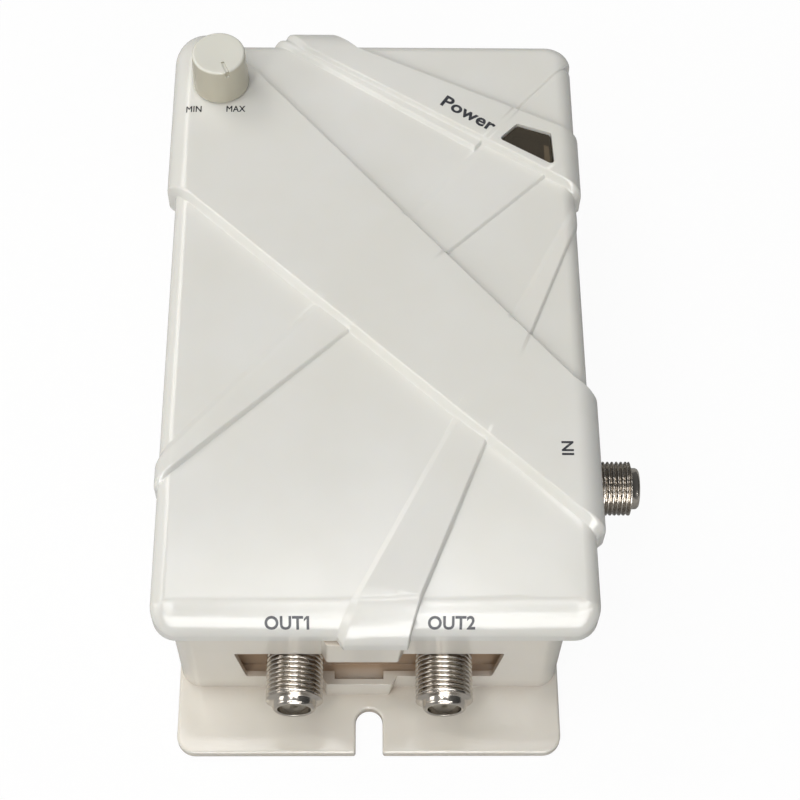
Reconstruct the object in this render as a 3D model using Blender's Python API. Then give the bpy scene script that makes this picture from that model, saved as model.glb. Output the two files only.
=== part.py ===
"""Signal booster for a TV aerial or a cellular antenna lead: one coaxial input, two outputs and a gain knob.

The case lies on its wall plate. The origin is the middle of the plate's underside, +Z points out of the
cover, -Y towards the two outputs and +X towards the input. All sizes are in metres.
"""

import math

import bmesh
import bpy
from mathutils import Matrix, Vector

MM = 0.001
GAP = 0.3 * MM  # clearance between neighbouring pieces
UP = Vector((0, 0, 1))
TOWARDS_FRONT = Matrix.Rotation(math.pi / 2, 3, "X")
TOWARDS_SIDE = Matrix.Rotation(math.pi / 2, 3, "Y")

# Wall plate and lower case
PLATE_HALF_X = 32.7 * MM
PLATE_HALF_Y = 69.2 * MM
PLATE_THICK = 2.0 * MM
PLATE_CORNER = 3.2 * MM
TAB_SLOT_WIDTH = 4.6 * MM
TAB_SLOT_END_Y = 61.3 * MM
CASE_HALF_X = 32.4 * MM
CASE_FRONT_Y = -57.35 * MM
CASE_REAR_Y = 58.75 * MM
CASE_MID_Y = (CASE_FRONT_Y + CASE_REAR_Y) / 2
CASE_HALF_Y = (CASE_REAR_Y - CASE_FRONT_Y) / 2
CASE_CORNER = 3.6 * MM
CASE_WALL = 1.6 * MM
CASE_SIDE_WALL = 1.2 * MM
CASE_TOP = 25.0 * MM
LIP_TOP = 28.2 * MM
LIP_HALF_Y = 49.0 * MM

# Output window in the front wall with a bulkhead behind it, and the raised strip that crosses it
WINDOW_LOW = 7.0 * MM
WINDOW_HIGH = 17.5 * MM
WINDOW_HALF_LOW = 20.9 * MM
WINDOW_HALF_HIGH = 22.4 * MM
WINDOW_WALL = 1.0 * MM
BULKHEAD_FRONT_Y = -54.8 * MM
BULKHEAD_THICK = 1.2 * MM
BULKHEAD_TOP = 21.0 * MM
BULKHEAD_HALF_X = 22.6 * MM
SHELF_TOP = 6.0 * MM
STRIP_RISE = 1.45 * MM
STRIP_LEFT = (-6.9 * MM, -7.3 * MM)  # at the case's top and at the plate
STRIP_RIGHT = (5.3 * MM, 3.4 * MM)

# Cover
COVER_MID_X = 1.0 * MM
COVER_HALF_X = 36.2 * MM
COVER_FRONT_Y = -58.2 * MM
COVER_REAR_Y = 60.1 * MM
COVER_MID_Y = (COVER_FRONT_Y + COVER_REAR_Y) / 2
COVER_HALF_Y = (COVER_REAR_Y - COVER_FRONT_Y) / 2
COVER_CORNER = 4.2 * MM
COVER_RIM = CASE_TOP + GAP
COVER_TOP = 32.2 * MM
COVER_SIDE_ROUND = 2.6 * MM
COVER_FRONT_ROUND = 5.0 * MM
FRONT_FLATNESS = 1.5  # power of the front edge's round: 2 is a circle, 1 a straight chamfer
COVER_WALL = 1.8 * MM
COVER_CEILING = COVER_TOP - COVER_WALL
FAINT_BAND = 0.2 * MM
LOW_BAND = 0.8 * MM
HIGH_BAND = 1.8 * MM
BAND_TOP = COVER_TOP + HIGH_BAND
SOFT_EDGE = 0.9 * MM  # width of a band edge that is rounded over
STEEP_EDGE = 0.5 * MM
FIRM_EDGE = 0.4 * MM
CRISP_EDGE = 0.25 * MM

# Gain control
KNOB_XY = Vector((-27.6, 48.8)) * MM
KNOB_BASE_R = 5.2 * MM
KNOB_TOP_R = 4.85 * MM
KNOB_HEIGHT = 8.2 * MM
KNOB_BORE_DEPTH = 5.6 * MM
KNOB_RIM_ROUND = 0.5 * MM
POINTER_WIDTH = 0.6 * MM
POINTER_DEPTH = 0.4 * MM
POINTER_DROP = 1.4 * MM  # how far down the side the groove reaches
POINTER_INNER_R = 2.2 * MM
POINTER_TURN = math.radians(22)  # from -Y towards +X, at the MAX stop
SHAFT_R = 1.6 * MM
POT_HALF = 3.2 * MM
POT_TOP = 12.6 * MM

# Circuit board
BOARD_HALF_X = 30.2 * MM
BOARD_HALF_Y = 53.0 * MM
BOARD_LOW = 5.8 * MM
BOARD_HIGH = 7.4 * MM
ON_BOARD = BOARD_HIGH + GAP

# Type F coaxial connectors, 3/8-32 thread
THREAD_R = 9.525 / 2 * MM
THREAD_PITCH = 25.4 / 32 * MM
THREAD_DEPTH = 0.5 * MM
THREAD_TURNS = 11
CONNECTOR_Z = 12.73 * MM
CONNECTOR_BLOCK = 4.0 * MM
CONNECTOR_BARREL = 15.8 * MM
CONNECTOR_NOSE = 1.6 * MM
BLOCK_HALF = 5.0 * MM
NOSE_R = 3.65 * MM
NOSE_TIP_R = 3.35 * MM
CONNECTOR_BORE_R = 2.8 * MM
INSULATOR_RECESS = 2.6 * MM
OUT_X = 12.45 * MM
OUT_TIP_Y = -65.4 * MM
IN_Y = -24.5 * MM
IN_TIP_X = 47.4 * MM
CONNECTOR_HOLE_R = 5.15 * MM
CONNECTOR_HOLE_DEPTH = 8.0 * MM
OUT_HOLE_Y = -53.0 * MM
IN_HOLE_X = 28.0 * MM

# Fasteners
CASE_SCREWS = [Vector(p) * MM for p in ((-26.5, -50.0), (26.5, -50.0), (-13.0, 50.5), (26.5, 50.5))]
BOARD_SCREWS = [Vector(p) * MM for p in ((-25.0, -38.0), (25.0, -38.0), (-25.0, 20.0), (25.0, 20.0))]
BOSS_R = 4.2 * MM
BOSS_TOP = 13.7 * MM
SCREW_LEDGE = 9.5 * MM
POST_R = 3.5 * MM
POST_HOLE_R = 1.6 * MM
POST_HOLE_TOP = 23.0 * MM
STANDOFF_R = 2.8 * MM

# Power lens and lamp
LENS_CORNERS = [Vector(p) * MM for p in ((27.0, 39.5), (23.8, 36.3), (33.3, 30.5), (33.0, 37.4))]
LENS_CORNER_ROUND = 0.5 * MM
LENS_TOP = BAND_TOP - 0.5 * MM
LENS_FLANGE = 0.7 * MM
LED_XY = Vector((28.8, 35.6)) * MM
LED_R = 1.5 * MM
LED_TOP = 31.6 * MM
LED_LEG_HALF = 0.25 * MM

# Power jack in the rear wall
JACK_X = 7.0 * MM
JACK_HALF_X = 4.5 * MM
JACK_HEIGHT = 11.0 * MM
JACK_DEPTH = 12.5 * MM
JACK_BORE_R = 2.75 * MM

ROUND_STEPS = 24


def material(name, colour, roughness, metallic=0.0):
    made = bpy.data.materials.new(name)
    made.use_nodes = True
    shader = made.node_tree.nodes["Principled BSDF"]
    shader.inputs["Base Color"].default_value = (*colour, 1.0)
    shader.inputs["Roughness"].default_value = roughness
    shader.inputs["Metallic"].default_value = metallic
    return made


def finish_object(name, bm, look, sharp_angle=35.0):
    """Turn a bmesh into a named object with its material and smooth shading between sharp edges."""
    bmesh.ops.recalc_face_normals(bm, faces=bm.faces)
    mesh = bpy.data.meshes.new(name)
    bm.to_mesh(mesh)
    bm.free()
    mesh.materials.append(look)
    mesh.shade_smooth()
    mesh.set_sharp_from_angle(angle=math.radians(sharp_angle))
    made = bpy.data.objects.new(name, mesh)
    bpy.context.scene.collection.objects.link(made)
    return made


def combine(target, tool, operation):
    """Leave a Boolean on the target; the tool object is only a guide."""
    change = target.modifiers.new(tool.name, "BOOLEAN")
    change.operation = operation
    change.object = tool
    change.solver = "EXACT"
    tool.hide_render = True
    tool.display_type = "WIRE"


def cut(target, tool):
    combine(target, tool, "DIFFERENCE")


def join(target, tool):
    combine(target, tool, "UNION")


def loft(bm, rings):
    """Skin equal rings of points and cap the first and last. Returns the side faces, ring by ring."""
    made = [[bm.verts.new(point) for point in ring] for ring in rings]
    count = len(made[0])
    bands = []
    for low, high in zip(made, made[1:]):
        faces = []
        for i in range(count):
            j = (i + 1) % count
            faces.append(bm.faces.new((low[i], low[j], high[j], high[i])))
        bands.append(faces)
    bm.faces.new(list(reversed(made[0])))
    bands.append([bm.faces.new(made[-1])])
    return bands


def prism(outline, low, high):
    """Upright prism over a plan outline."""
    bm = bmesh.new()
    loft(bm, [[(x, y, z) for x, y in outline] for z in (low, high)])
    return bm


def block(low, high):
    (x0, y0, z0), (x1, y1, z1) = low, high
    return prism([(x0, y0), (x1, y0), (x1, y1), (x0, y1)], z0, z1)


def rounded_rectangle(half_x, half_y, corner, steps, middle=(0.0, 0.0)):
    """Outline points with their outward directions, anticlockwise from the front right corner."""
    mid_x, mid_y = middle
    points = []
    centres = ((1, -1, -90), (1, 1, 0), (-1, 1, 90), (-1, -1, 180))
    for side_x, side_y, start in centres:
        centre = Vector((mid_x + side_x * (half_x - corner), mid_y + side_y * (half_y - corner)))
        for step in range(steps + 1):
            angle = math.radians(start + 90 * step / steps)
            outward = Vector((math.cos(angle), math.sin(angle)))
            points.append((centre + outward * corner, outward))
    return points


def plan(outline):
    return [tuple(point) for point, outward in outline]


def revolve(profile, steps=ROUND_STEPS, closed=False):
    """Turn a (radius, height) profile about Z. An open profile starts and ends on the axis."""
    bm = bmesh.new()
    rings = []
    for radius, height in profile:
        if radius < 1e-9:
            rings.append([bm.verts.new((0, 0, height))])
            continue
        angles = [2 * math.pi * i / steps for i in range(steps)]
        rings.append([bm.verts.new((radius * math.cos(a), radius * math.sin(a), height)) for a in angles])
    pairs = list(zip(rings, rings[1:]))
    if closed:
        pairs.append((rings[-1], rings[0]))
    for first, second in pairs:
        for i in range(steps):
            j = (i + 1) % steps
            corners = [ring[k % len(ring)] for ring, k in ((first, i), (first, j), (second, j), (second, i))]
            bm.faces.new(list(dict.fromkeys(corners)))
    return bm


def cylinder(radius, low, high, steps=ROUND_STEPS):
    return revolve([(0, low), (radius, low), (radius, high), (0, high)], steps)


def move(bm, offset, turn=None):
    """Turn a bmesh about its origin, then shift it."""
    matrix = Matrix.Translation(offset)
    if turn is not None:
        matrix = matrix @ turn.to_4x4()
    bmesh.ops.transform(bm, matrix=matrix, verts=bm.verts)
    return bm


def at(xy, z=0.0):
    return Vector((xy[0], xy[1], z))


# ---------------------------------------------------------------- cover


class EdgeLine:
    """A straight band edge in plan. Distance counts inwards, towards the point called inside."""

    def __init__(self, first, second, inside, width):
        self.first = Vector(first) * MM
        self.second = Vector(second) * MM
        along = (self.second - self.first).normalized()
        self.normal = Vector((-along.y, along.x))
        if (Vector(inside) * MM - self.first).dot(self.normal) < 0:
            self.normal.negate()
        self.width = width

    def distance(self, x, y):
        return (Vector((x, y)) - self.first).dot(self.normal)

    def share(self, x, y):
        return min(max(self.distance(x, y) / self.width, 0.0), 1.0)

    def cuts(self):
        return (self.first, self.first + self.normal * self.width)


class Band:
    """A raised strip between two straight edges. Its top slopes from the rise at the upper edge to that at
    the lower edge, and the lower edge grows from its first end to its second. On the skirt it stands out
    by one wall rise on the long sides and another on the two ends. It stops at an end line, if it has one."""

    def __init__(self, upper, lower, wall_rise, upper_rise, first_rise, second_rise, end=None):
        self.upper = upper
        self.lower = lower
        self.side_rise, self.end_rise = wall_rise
        self.upper_rise = upper_rise
        self.first_rise = first_rise
        self.second_rise = second_rise
        self.edges = [upper, lower] + ([end] if end else [])

    def share(self, x, y):
        return min(edge.share(x, y) for edge in self.edges)

    def top_rise(self, x, y):
        from_upper = max(self.upper.distance(x, y), 0.0)
        from_lower = max(self.lower.distance(x, y), 0.0)
        across = from_upper / max(from_upper + from_lower, 0.001 * MM)
        run = self.lower.second - self.lower.first
        along = (Vector((x, y)) - self.lower.first).dot(run) / run.length_squared
        lower_rise = self.first_rise + (self.second_rise - self.first_rise) * min(max(along, 0.0), 1.0) ** 2
        return self.upper_rise + (lower_rise - self.upper_rise) * across

    def cuts(self):
        """Points and directions of the upright planes that give the skin edges where the band bends."""
        planes = [(point, edge.normal) for edge in self.edges for point in edge.cuts()]
        if self.upper_rise == self.first_rise == self.second_rise:
            return planes
        for across in (0.25, 0.5, 0.75):
            first = self.upper.first.lerp(self.lower.first, across)
            second = self.upper.second.lerp(self.lower.second, across)
            planes.append((first, (second - first).orthogonal()))
        return planes


def band_table():
    wide_up = EdgeLine((-20.0, 50.9), (35.8, -14.5), (0, 0), CRISP_EDGE)
    wide_low = EdgeLine((-36.2, 26.4), (37.6, -42.6), (0, 0), SOFT_EDGE)
    lamp_up = EdgeLine((-1.7, 57.5), (36.9, 38.7), (29, 36), CRISP_EDGE)
    lamp_low = EdgeLine((-18.2, 61.0), (36.9, 25.6), (29, 36), STEEP_EDGE)
    lamp_middle = EdgeLine((-10.0, 59.2), (36.9, 32.1), (0, 0), CRISP_EDGE)
    lamp_beyond = EdgeLine((-10.0, 59.2), (36.9, 32.1), (30, 50), CRISP_EDGE)
    under_low = EdgeLine((-17.0, 59.1), (19.0, 34.6), (29, 36), STEEP_EDGE)
    under_end = EdgeLine((35.5, 53.5), (-34.0, -26.3), (-20, 50), CRISP_EDGE)
    cross_up = EdgeLine((35.5, 53.5), (-34.0, -26.3), (0, 0), SOFT_EDGE)
    cross_low = EdgeLine((30.9, 27.9), (-34.7, -33.0), (0, 10), FIRM_EDGE)
    front_up = EdgeLine((33.3, 16.6), (-5.1, -57.9), (10, -50), SOFT_EDGE)
    front_low = EdgeLine((35.6, 14.5), (6.0, -59.8), (0, -60), FIRM_EDGE)
    return [
        Band(wide_up, wide_low, (1.6 * MM, 2.4 * MM), HIGH_BAND, HIGH_BAND, HIGH_BAND),
        Band(lamp_up, lamp_low, (1.2 * MM, 2.8 * MM), HIGH_BAND, HIGH_BAND, HIGH_BAND),
        Band(under_end, under_low, (0.8 * MM, 1.6 * MM), LOW_BAND, LOW_BAND, LOW_BAND, lamp_middle),
        Band(under_end, lamp_beyond, (0.7 * MM, 0.0), FAINT_BAND, FAINT_BAND, FAINT_BAND),
        Band(cross_up, cross_low, (0.6 * MM, 1.3 * MM), FAINT_BAND, 0.5 * MM, 1.3 * MM),
        Band(front_up, front_low, (0.2 * MM, 1.6 * MM), FAINT_BAND, 0.6 * MM, 1.1 * MM),
    ]


def band_rise(bands, x, y):
    """Rises on the top, the long sides and the two ends at a plan position: the highest band there wins."""
    top = side = end = 0.0
    for band in bands:
        share = band.share(x, y)
        top = max(top, band.top_rise(x, y) * share)
        side = max(side, band.side_rise * share)
        end = max(end, band.end_rise * share)
    return top, side, end


def edge_round(point, out, inset, lean):
    """Point and facing of the rounded top edge. The front edge is larger and flatter than the others."""
    front = max(0.0, -out.y) ** 1.5
    radius = COVER_SIDE_ROUND + (COVER_FRONT_ROUND - COVER_SIDE_ROUND) * front
    power = 2.0 - (2.0 - FRONT_FLATNESS) * front
    sideways, upwards = math.cos(lean), math.sin(lean)
    centre = at(point - out * radius, COVER_TOP - radius)
    reach = at(out) * max(sideways, 0.0) ** (2 / power) + UP * upwards ** (2 / power)
    facing = at(out) * max(sideways, 0.0) ** (2 - 2 / power) + UP * upwards ** (2 - 2 / power)
    return centre + reach * max(radius - inset, 0.5 * MM), facing.normalized()


def cover_rings(inset, corner_steps, round_steps):
    """Rings of a cover skin, from the rim up over the rounded edge, with the direction each point faces."""
    middle = (COVER_MID_X, COVER_MID_Y)
    outline = rounded_rectangle(COVER_HALF_X, COVER_HALF_Y, COVER_CORNER, corner_steps, middle)
    rings = [[(at(p - out * inset, COVER_RIM), at(out)) for p, out in outline]]
    for step in range(round_steps + 1):
        lean = math.pi / 2 * step / round_steps
        rings.append([edge_round(point, out, inset, lean) for point, out in outline])
    return rings


def cover_shell():
    """Outer skin with the raised bands, inner skin and rim as one closed body."""
    outer = cover_rings(0.0, 4, 4)
    inner = cover_rings(COVER_WALL, 4, 2)
    bm = bmesh.new()
    facing = bm.verts.layers.float_vector.new("facing")
    outside = bm.faces.layers.int.new("outside")
    rings = [[p for p, out in ring] for ring in reversed(inner)] + [[p for p, out in ring] for ring in outer]
    faces = loft(bm, rings)
    for band in faces[len(inner):]:
        for face in band:
            face[outside] = 1
    bm.verts.ensure_lookup_table()
    first_outer = len(inner) * len(inner[0])
    for number, (point, out) in enumerate(entry for ring in outer for entry in ring):
        bm.verts[first_outer + number][facing] = out
    bands = band_table()
    for band in bands:
        for point, normal in band.cuts():
            skin = [f for f in bm.faces if f[outside]]
            edges = list({edge for face in skin for edge in face.edges})
            corners = list({vert for face in skin for vert in face.verts})
            cut_at = {"plane_co": at(point), "plane_no": at(normal)}
            bmesh.ops.bisect_plane(bm, geom=skin + edges + corners, dist=1e-6, **cut_at)
    for vert in bm.verts:
        out = vert[facing]
        if out.length < 0.1:
            continue
        top, side, end = band_rise(bands, vert.co.x, vert.co.y)
        out = out.normalized()
        vert.co += Vector((out.x * side, out.y * end, out.z * top))
    bmesh.ops.remove_doubles(bm, verts=bm.verts, dist=0.00002)
    bmesh.ops.triangulate(bm, faces=bm.faces)
    return bm


def lens_outline(spread):
    """Lens outline with rounded corners, grown outwards by spread."""
    corner = LENS_CORNER_ROUND
    count = len(LENS_CORNERS)
    points = []
    for i, here in enumerate(LENS_CORNERS):
        before = (LENS_CORNERS[i - 1] - here).normalized()
        after = (LENS_CORNERS[(i + 1) % count] - here).normalized()
        half = before.angle(after) / 2
        inward = (before + after).normalized()
        centre = here + inward * (corner / math.sin(half))
        out_start = Vector((before.y, -before.x))
        if out_start.dot(inward) > 0:
            out_start.negate()
        out_end = Vector((after.y, -after.x))
        if out_end.dot(inward) > 0:
            out_end.negate()
        for step in range(4):
            out = out_start.lerp(out_end, step / 3).normalized()
            points.append(tuple(centre + out * (corner + spread)))
    return points


def top_cover(look, guide):
    cover = finish_object("top_cover", cover_shell(), look)
    for number, xy in enumerate(CASE_SCREWS):
        low = BOSS_TOP + GAP
        post = move(cylinder(POST_R, low, COVER_CEILING + 0.5 * MM, 16), at(xy))
        join(cover, finish_object(f"post_{number}", post, guide))
        hole = move(cylinder(POST_HOLE_R, low - MM, POST_HOLE_TOP, 12), at(xy))
        cut(cover, finish_object(f"post_hole_{number}", hole, guide))
    shaft_hole = move(cylinder(3.0 * MM, COVER_CEILING - MM, BAND_TOP + MM), at(KNOB_XY))
    cut(cover, finish_object("shaft_hole", shaft_hole, guide))
    window = prism(lens_outline(0.15 * MM), COVER_CEILING - MM, BAND_TOP + MM)
    cut(cover, finish_object("lens_window", window, guide))
    return cover


# ---------------------------------------------------------------- lower case


def strip_pad(low, high):
    """Raised strip on the front wall between two heights; it leans slightly to the left as it goes down."""
    rings = []
    for z in (low, high):
        share = (z - PLATE_THICK) / (CASE_TOP - PLATE_THICK)
        left = STRIP_LEFT[1] + (STRIP_LEFT[0] - STRIP_LEFT[1]) * share
        right = STRIP_RIGHT[1] + (STRIP_RIGHT[0] - STRIP_RIGHT[1]) * share
        face_y = CASE_FRONT_Y - STRIP_RISE
        back_y = CASE_FRONT_Y + 0.5 * MM
        spread = STRIP_RISE * 0.7
        corners = ((left - spread, back_y), (left, face_y), (right, face_y), (right + spread, back_y))
        rings.append([(x, y, z) for x, y in corners])
    bm = bmesh.new()
    loft(bm, rings)
    return bm


def output_window():
    """Opening across the front wall, narrower at its sill."""
    outline = [
        (-WINDOW_HALF_LOW, WINDOW_LOW),
        (WINDOW_HALF_LOW, WINDOW_LOW),
        (WINDOW_HALF_HIGH, WINDOW_HIGH),
        (-WINDOW_HALF_HIGH, WINDOW_HIGH),
    ]
    back = CASE_FRONT_Y + CASE_WALL + GAP
    front = CASE_FRONT_Y - 3 * MM
    bm = bmesh.new()
    loft(bm, [[(x, y, z) for x, z in outline] for y in (back, front)])
    return bm


def window_pockets():
    """Hollows behind the front wall that thin it round the window and follow the raised strip."""
    back = BULKHEAD_FRONT_Y - GAP
    wall_back = CASE_FRONT_Y + WINDOW_WALL
    strip_back = wall_back - STRIP_RISE
    low_z, high_z = SHELF_TOP, WINDOW_HIGH + 2 * MM
    half = WINDOW_HALF_HIGH + MM
    strip_low_x = STRIP_LEFT[0] + WINDOW_WALL
    strip_high_x = STRIP_RIGHT[1] - WINDOW_WALL
    return (
        ("wall_pocket", (-half, wall_back, low_z), (half, back, high_z)),
        ("strip_pocket", (strip_low_x, strip_back, low_z), (strip_high_x, back, high_z)),
    )


def tab_slot(side):
    """Open-ended screw slot in one end of the wall plate."""
    radius = TAB_SLOT_WIDTH / 2
    middle = TAB_SLOT_END_Y + radius
    outline = [(radius, PLATE_HALF_Y + MM), (-radius, PLATE_HALF_Y + MM)]
    for step in range(9):
        angle = math.pi + math.pi * step / 8
        outline.append((radius * math.cos(angle), middle + radius * math.sin(angle)))
    if side < 0:
        outline = [(-x, -y) for x, y in outline]
    return prism(outline, -MM, PLATE_THICK + MM)


def base_case(look, guide):
    plate_outline = plan(rounded_rectangle(PLATE_HALF_X, PLATE_HALF_Y, PLATE_CORNER, 4))
    base = finish_object("base_case", prism(plate_outline, 0.0, PLATE_THICK), look)

    middle = (0.0, CASE_MID_Y)
    walls = plan(rounded_rectangle(CASE_HALF_X, CASE_HALF_Y, CASE_CORNER, 4, middle))
    join(base, finish_object("case_walls", prism(walls, 0.5 * MM, CASE_TOP), guide))
    lip = block((-CASE_HALF_X, -LIP_HALF_Y, CASE_TOP - MM), (CASE_HALF_X, LIP_HALF_Y, LIP_TOP))
    join(base, finish_object("case_lip", lip, guide))
    join(base, finish_object("strip_upper", strip_pad(WINDOW_HIGH, CASE_TOP), guide))
    join(base, finish_object("strip_lower", strip_pad(PLATE_THICK - 0.5 * MM, WINDOW_LOW), guide))
    inner_x = CASE_HALF_X - CASE_SIDE_WALL
    inner_y = CASE_HALF_Y - CASE_WALL
    hollow = plan(rounded_rectangle(inner_x, inner_y, CASE_CORNER - CASE_WALL, 3, middle))
    cut(base, finish_object("case_hollow", prism(hollow, PLATE_THICK, LIP_TOP + MM), guide))
    bulkhead_low = (-BULKHEAD_HALF_X, BULKHEAD_FRONT_Y, PLATE_THICK - MM)
    bulkhead_high = (BULKHEAD_HALF_X, BULKHEAD_FRONT_Y + BULKHEAD_THICK, BULKHEAD_TOP)
    join(base, finish_object("bulkhead", block(bulkhead_low, bulkhead_high), guide))
    shelf_low = (-BULKHEAD_HALF_X, CASE_FRONT_Y + 0.5 * MM, PLATE_THICK - MM)
    shelf_high = (BULKHEAD_HALF_X, BULKHEAD_FRONT_Y + 0.5 * MM, SHELF_TOP)
    join(base, finish_object("window_shelf", block(shelf_low, shelf_high), guide))

    for number, xy in enumerate(CASE_SCREWS):
        boss = move(cylinder(BOSS_R, PLATE_THICK - MM, BOSS_TOP, 16), at(xy))
        join(base, finish_object(f"boss_{number}", boss, guide))
    for number, xy in enumerate(BOARD_SCREWS):
        standoff = move(cylinder(STANDOFF_R, PLATE_THICK - MM, BOARD_LOW - GAP, 16), at(xy))
        join(base, finish_object(f"standoff_{number}", standoff, guide))
    for number, xy in enumerate(CASE_SCREWS):
        profile = [(0, -MM), (3.1 * MM, -MM), (3.1 * MM, SCREW_LEDGE), (1.75 * MM, SCREW_LEDGE)]
        profile += [(1.75 * MM, BOSS_TOP + MM), (0, BOSS_TOP + MM)]
        hole = move(revolve(profile, 16), at(xy))
        cut(base, finish_object(f"boss_hole_{number}", hole, guide))
    for number, xy in enumerate(BOARD_SCREWS):
        hole = move(cylinder(1.15 * MM, 1.2 * MM, BOARD_LOW + MM, 12), at(xy))
        cut(base, finish_object(f"standoff_hole_{number}", hole, guide))

    cut(base, finish_object("output_window", output_window(), guide))
    for name, low, high in window_pockets():
        cut(base, finish_object(name, block(low, high), guide))
    holes = (
        ("out1", (-OUT_X, OUT_HOLE_Y, CONNECTOR_Z), TOWARDS_FRONT),
        ("out2", (OUT_X, OUT_HOLE_Y, CONNECTOR_Z), TOWARDS_FRONT),
        ("in", (IN_HOLE_X, IN_Y, CONNECTOR_Z), TOWARDS_SIDE),
    )
    for name, start, turn in holes:
        hole = move(cylinder(CONNECTOR_HOLE_R, 0.0, CONNECTOR_HOLE_DEPTH, 32), Vector(start), turn)
        cut(base, finish_object(f"connector_hole_{name}", hole, guide))
    for side in (-1, 1):
        cut(base, finish_object(f"tab_slot_{side + 2}", tab_slot(side), guide))
    jack_low = (JACK_X - JACK_HALF_X - GAP, CASE_REAR_Y - 3 * MM, ON_BOARD - GAP)
    jack_high = (JACK_X + JACK_HALF_X + GAP, CASE_REAR_Y + MM, ON_BOARD + JACK_HEIGHT + GAP)
    cut(base, finish_object("jack_window", block(jack_low, jack_high), guide))
    return base


# ---------------------------------------------------------------- gain control


def gain_knob(look, guide):
    """Slightly tapered knob with a pointer groove across its top and down its side."""
    low = BAND_TOP + GAP
    high = low + KNOB_HEIGHT
    rim = KNOB_RIM_ROUND
    bore_r = SHAFT_R + 0.15 * MM
    profile = [(0, low + KNOB_BORE_DEPTH), (bore_r, low + KNOB_BORE_DEPTH), (bore_r, low)]
    profile += [(KNOB_BASE_R - 0.2 * MM, low), (KNOB_BASE_R, low + 0.3 * MM)]
    for step in range(5):
        lean = math.pi / 2 * step / 4
        profile.append((KNOB_TOP_R - rim + rim * math.cos(lean), high - rim + rim * math.sin(lean)))
    profile.append((0, high))
    knob = finish_object("gain_knob", move(revolve(profile, 40), at((0, 0), -low)), look)
    knob.location = at(KNOB_XY, low)
    half = POINTER_WIDTH / 2
    beyond = KNOB_BASE_R + MM
    above = KNOB_HEIGHT + MM
    top_low = (-half, -beyond, KNOB_HEIGHT - POINTER_DEPTH)
    side_low = (-half, -beyond, KNOB_HEIGHT - POINTER_DROP)
    grooves = (
        ("pointer_top", block(top_low, (half, -POINTER_INNER_R, above))),
        ("pointer_side", block(side_low, (half, -KNOB_TOP_R + POINTER_DEPTH, above))),
    )
    for name, tool in grooves:
        made = finish_object(name, tool, guide)
        made.location = knob.location
        made.rotation_euler = (0, 0, POINTER_TURN)
        cut(knob, made)
    return knob


def gain_control(knob_look, steel, dark, guide):
    gain_knob(knob_look, guide)
    shaft_low = 11.8 * MM
    shaft_high = BAND_TOP + GAP + KNOB_BORE_DEPTH - GAP
    profile = [(0, 0), (SHAFT_R, 0), (SHAFT_R, shaft_high - shaft_low - 0.4 * MM)]
    profile += [(SHAFT_R - 0.4 * MM, shaft_high - shaft_low), (0, shaft_high - shaft_low)]
    shaft = finish_object("pot_shaft", revolve(profile), steel)
    shaft.location = at(KNOB_XY, shaft_low)
    wiper = finish_object("pot_wiper", cylinder(2.3 * MM, 0, 2.0 * MM), dark)
    wiper.location = at(KNOB_XY, shaft_low - GAP - 2.0 * MM)

    box = [(POT_HALF, -POT_HALF), (POT_HALF, POT_HALF), (-POT_HALF, POT_HALF), (-POT_HALF, -POT_HALF)]
    housing = finish_object("pot_housing", move(prism(box, ON_BOARD, POT_TOP), at(KNOB_XY)), dark)
    hollow = move(cylinder(2.6 * MM, ON_BOARD + 1.2 * MM, POT_TOP + MM), at(KNOB_XY))
    cut(housing, finish_object("pot_hollow", hollow, guide))
    bushing = finish_object("pot_bushing", move(prism(box, POT_TOP + GAP, POT_TOP + MM), at(KNOB_XY)), steel)
    collar = move(cylinder(2.6 * MM, POT_TOP + 0.7 * MM, POT_TOP + 5 * MM), at(KNOB_XY))
    join(bushing, finish_object("pot_collar", collar, guide))
    bore = move(cylinder(SHAFT_R + 0.15 * MM, POT_TOP, POT_TOP + 6 * MM), at(KNOB_XY))
    cut(bushing, finish_object("pot_bore", bore, guide))


# ---------------------------------------------------------------- coaxial connectors


def connector_profile():
    """Half section of the shell from its rear to its tip, then back down the bore."""
    tip = CONNECTOR_BLOCK + CONNECTOR_BARREL + CONNECTOR_NOSE
    thread_end = tip - CONNECTOR_NOSE
    thread_start = thread_end - THREAD_TURNS * THREAD_PITCH
    profile = [(0, 0.5 * MM), (THREAD_R, 0.5 * MM), (THREAD_R, thread_start)]
    for turn in range(THREAD_TURNS):
        foot = thread_start + turn * THREAD_PITCH
        profile.append((THREAD_R - THREAD_DEPTH, foot + THREAD_PITCH * 0.5))
        profile.append((THREAD_R, foot + THREAD_PITCH * 0.9))
    profile[-1] = (THREAD_R - 0.2 * MM, thread_end)
    profile += [(NOSE_R, thread_end + 0.01 * MM), (NOSE_R, tip - 0.8 * MM), (NOSE_TIP_R, tip)]
    bore_end = tip - 12.0 * MM
    profile += [(CONNECTOR_BORE_R, tip), (CONNECTOR_BORE_R, bore_end), (0, bore_end)]
    return profile


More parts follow.
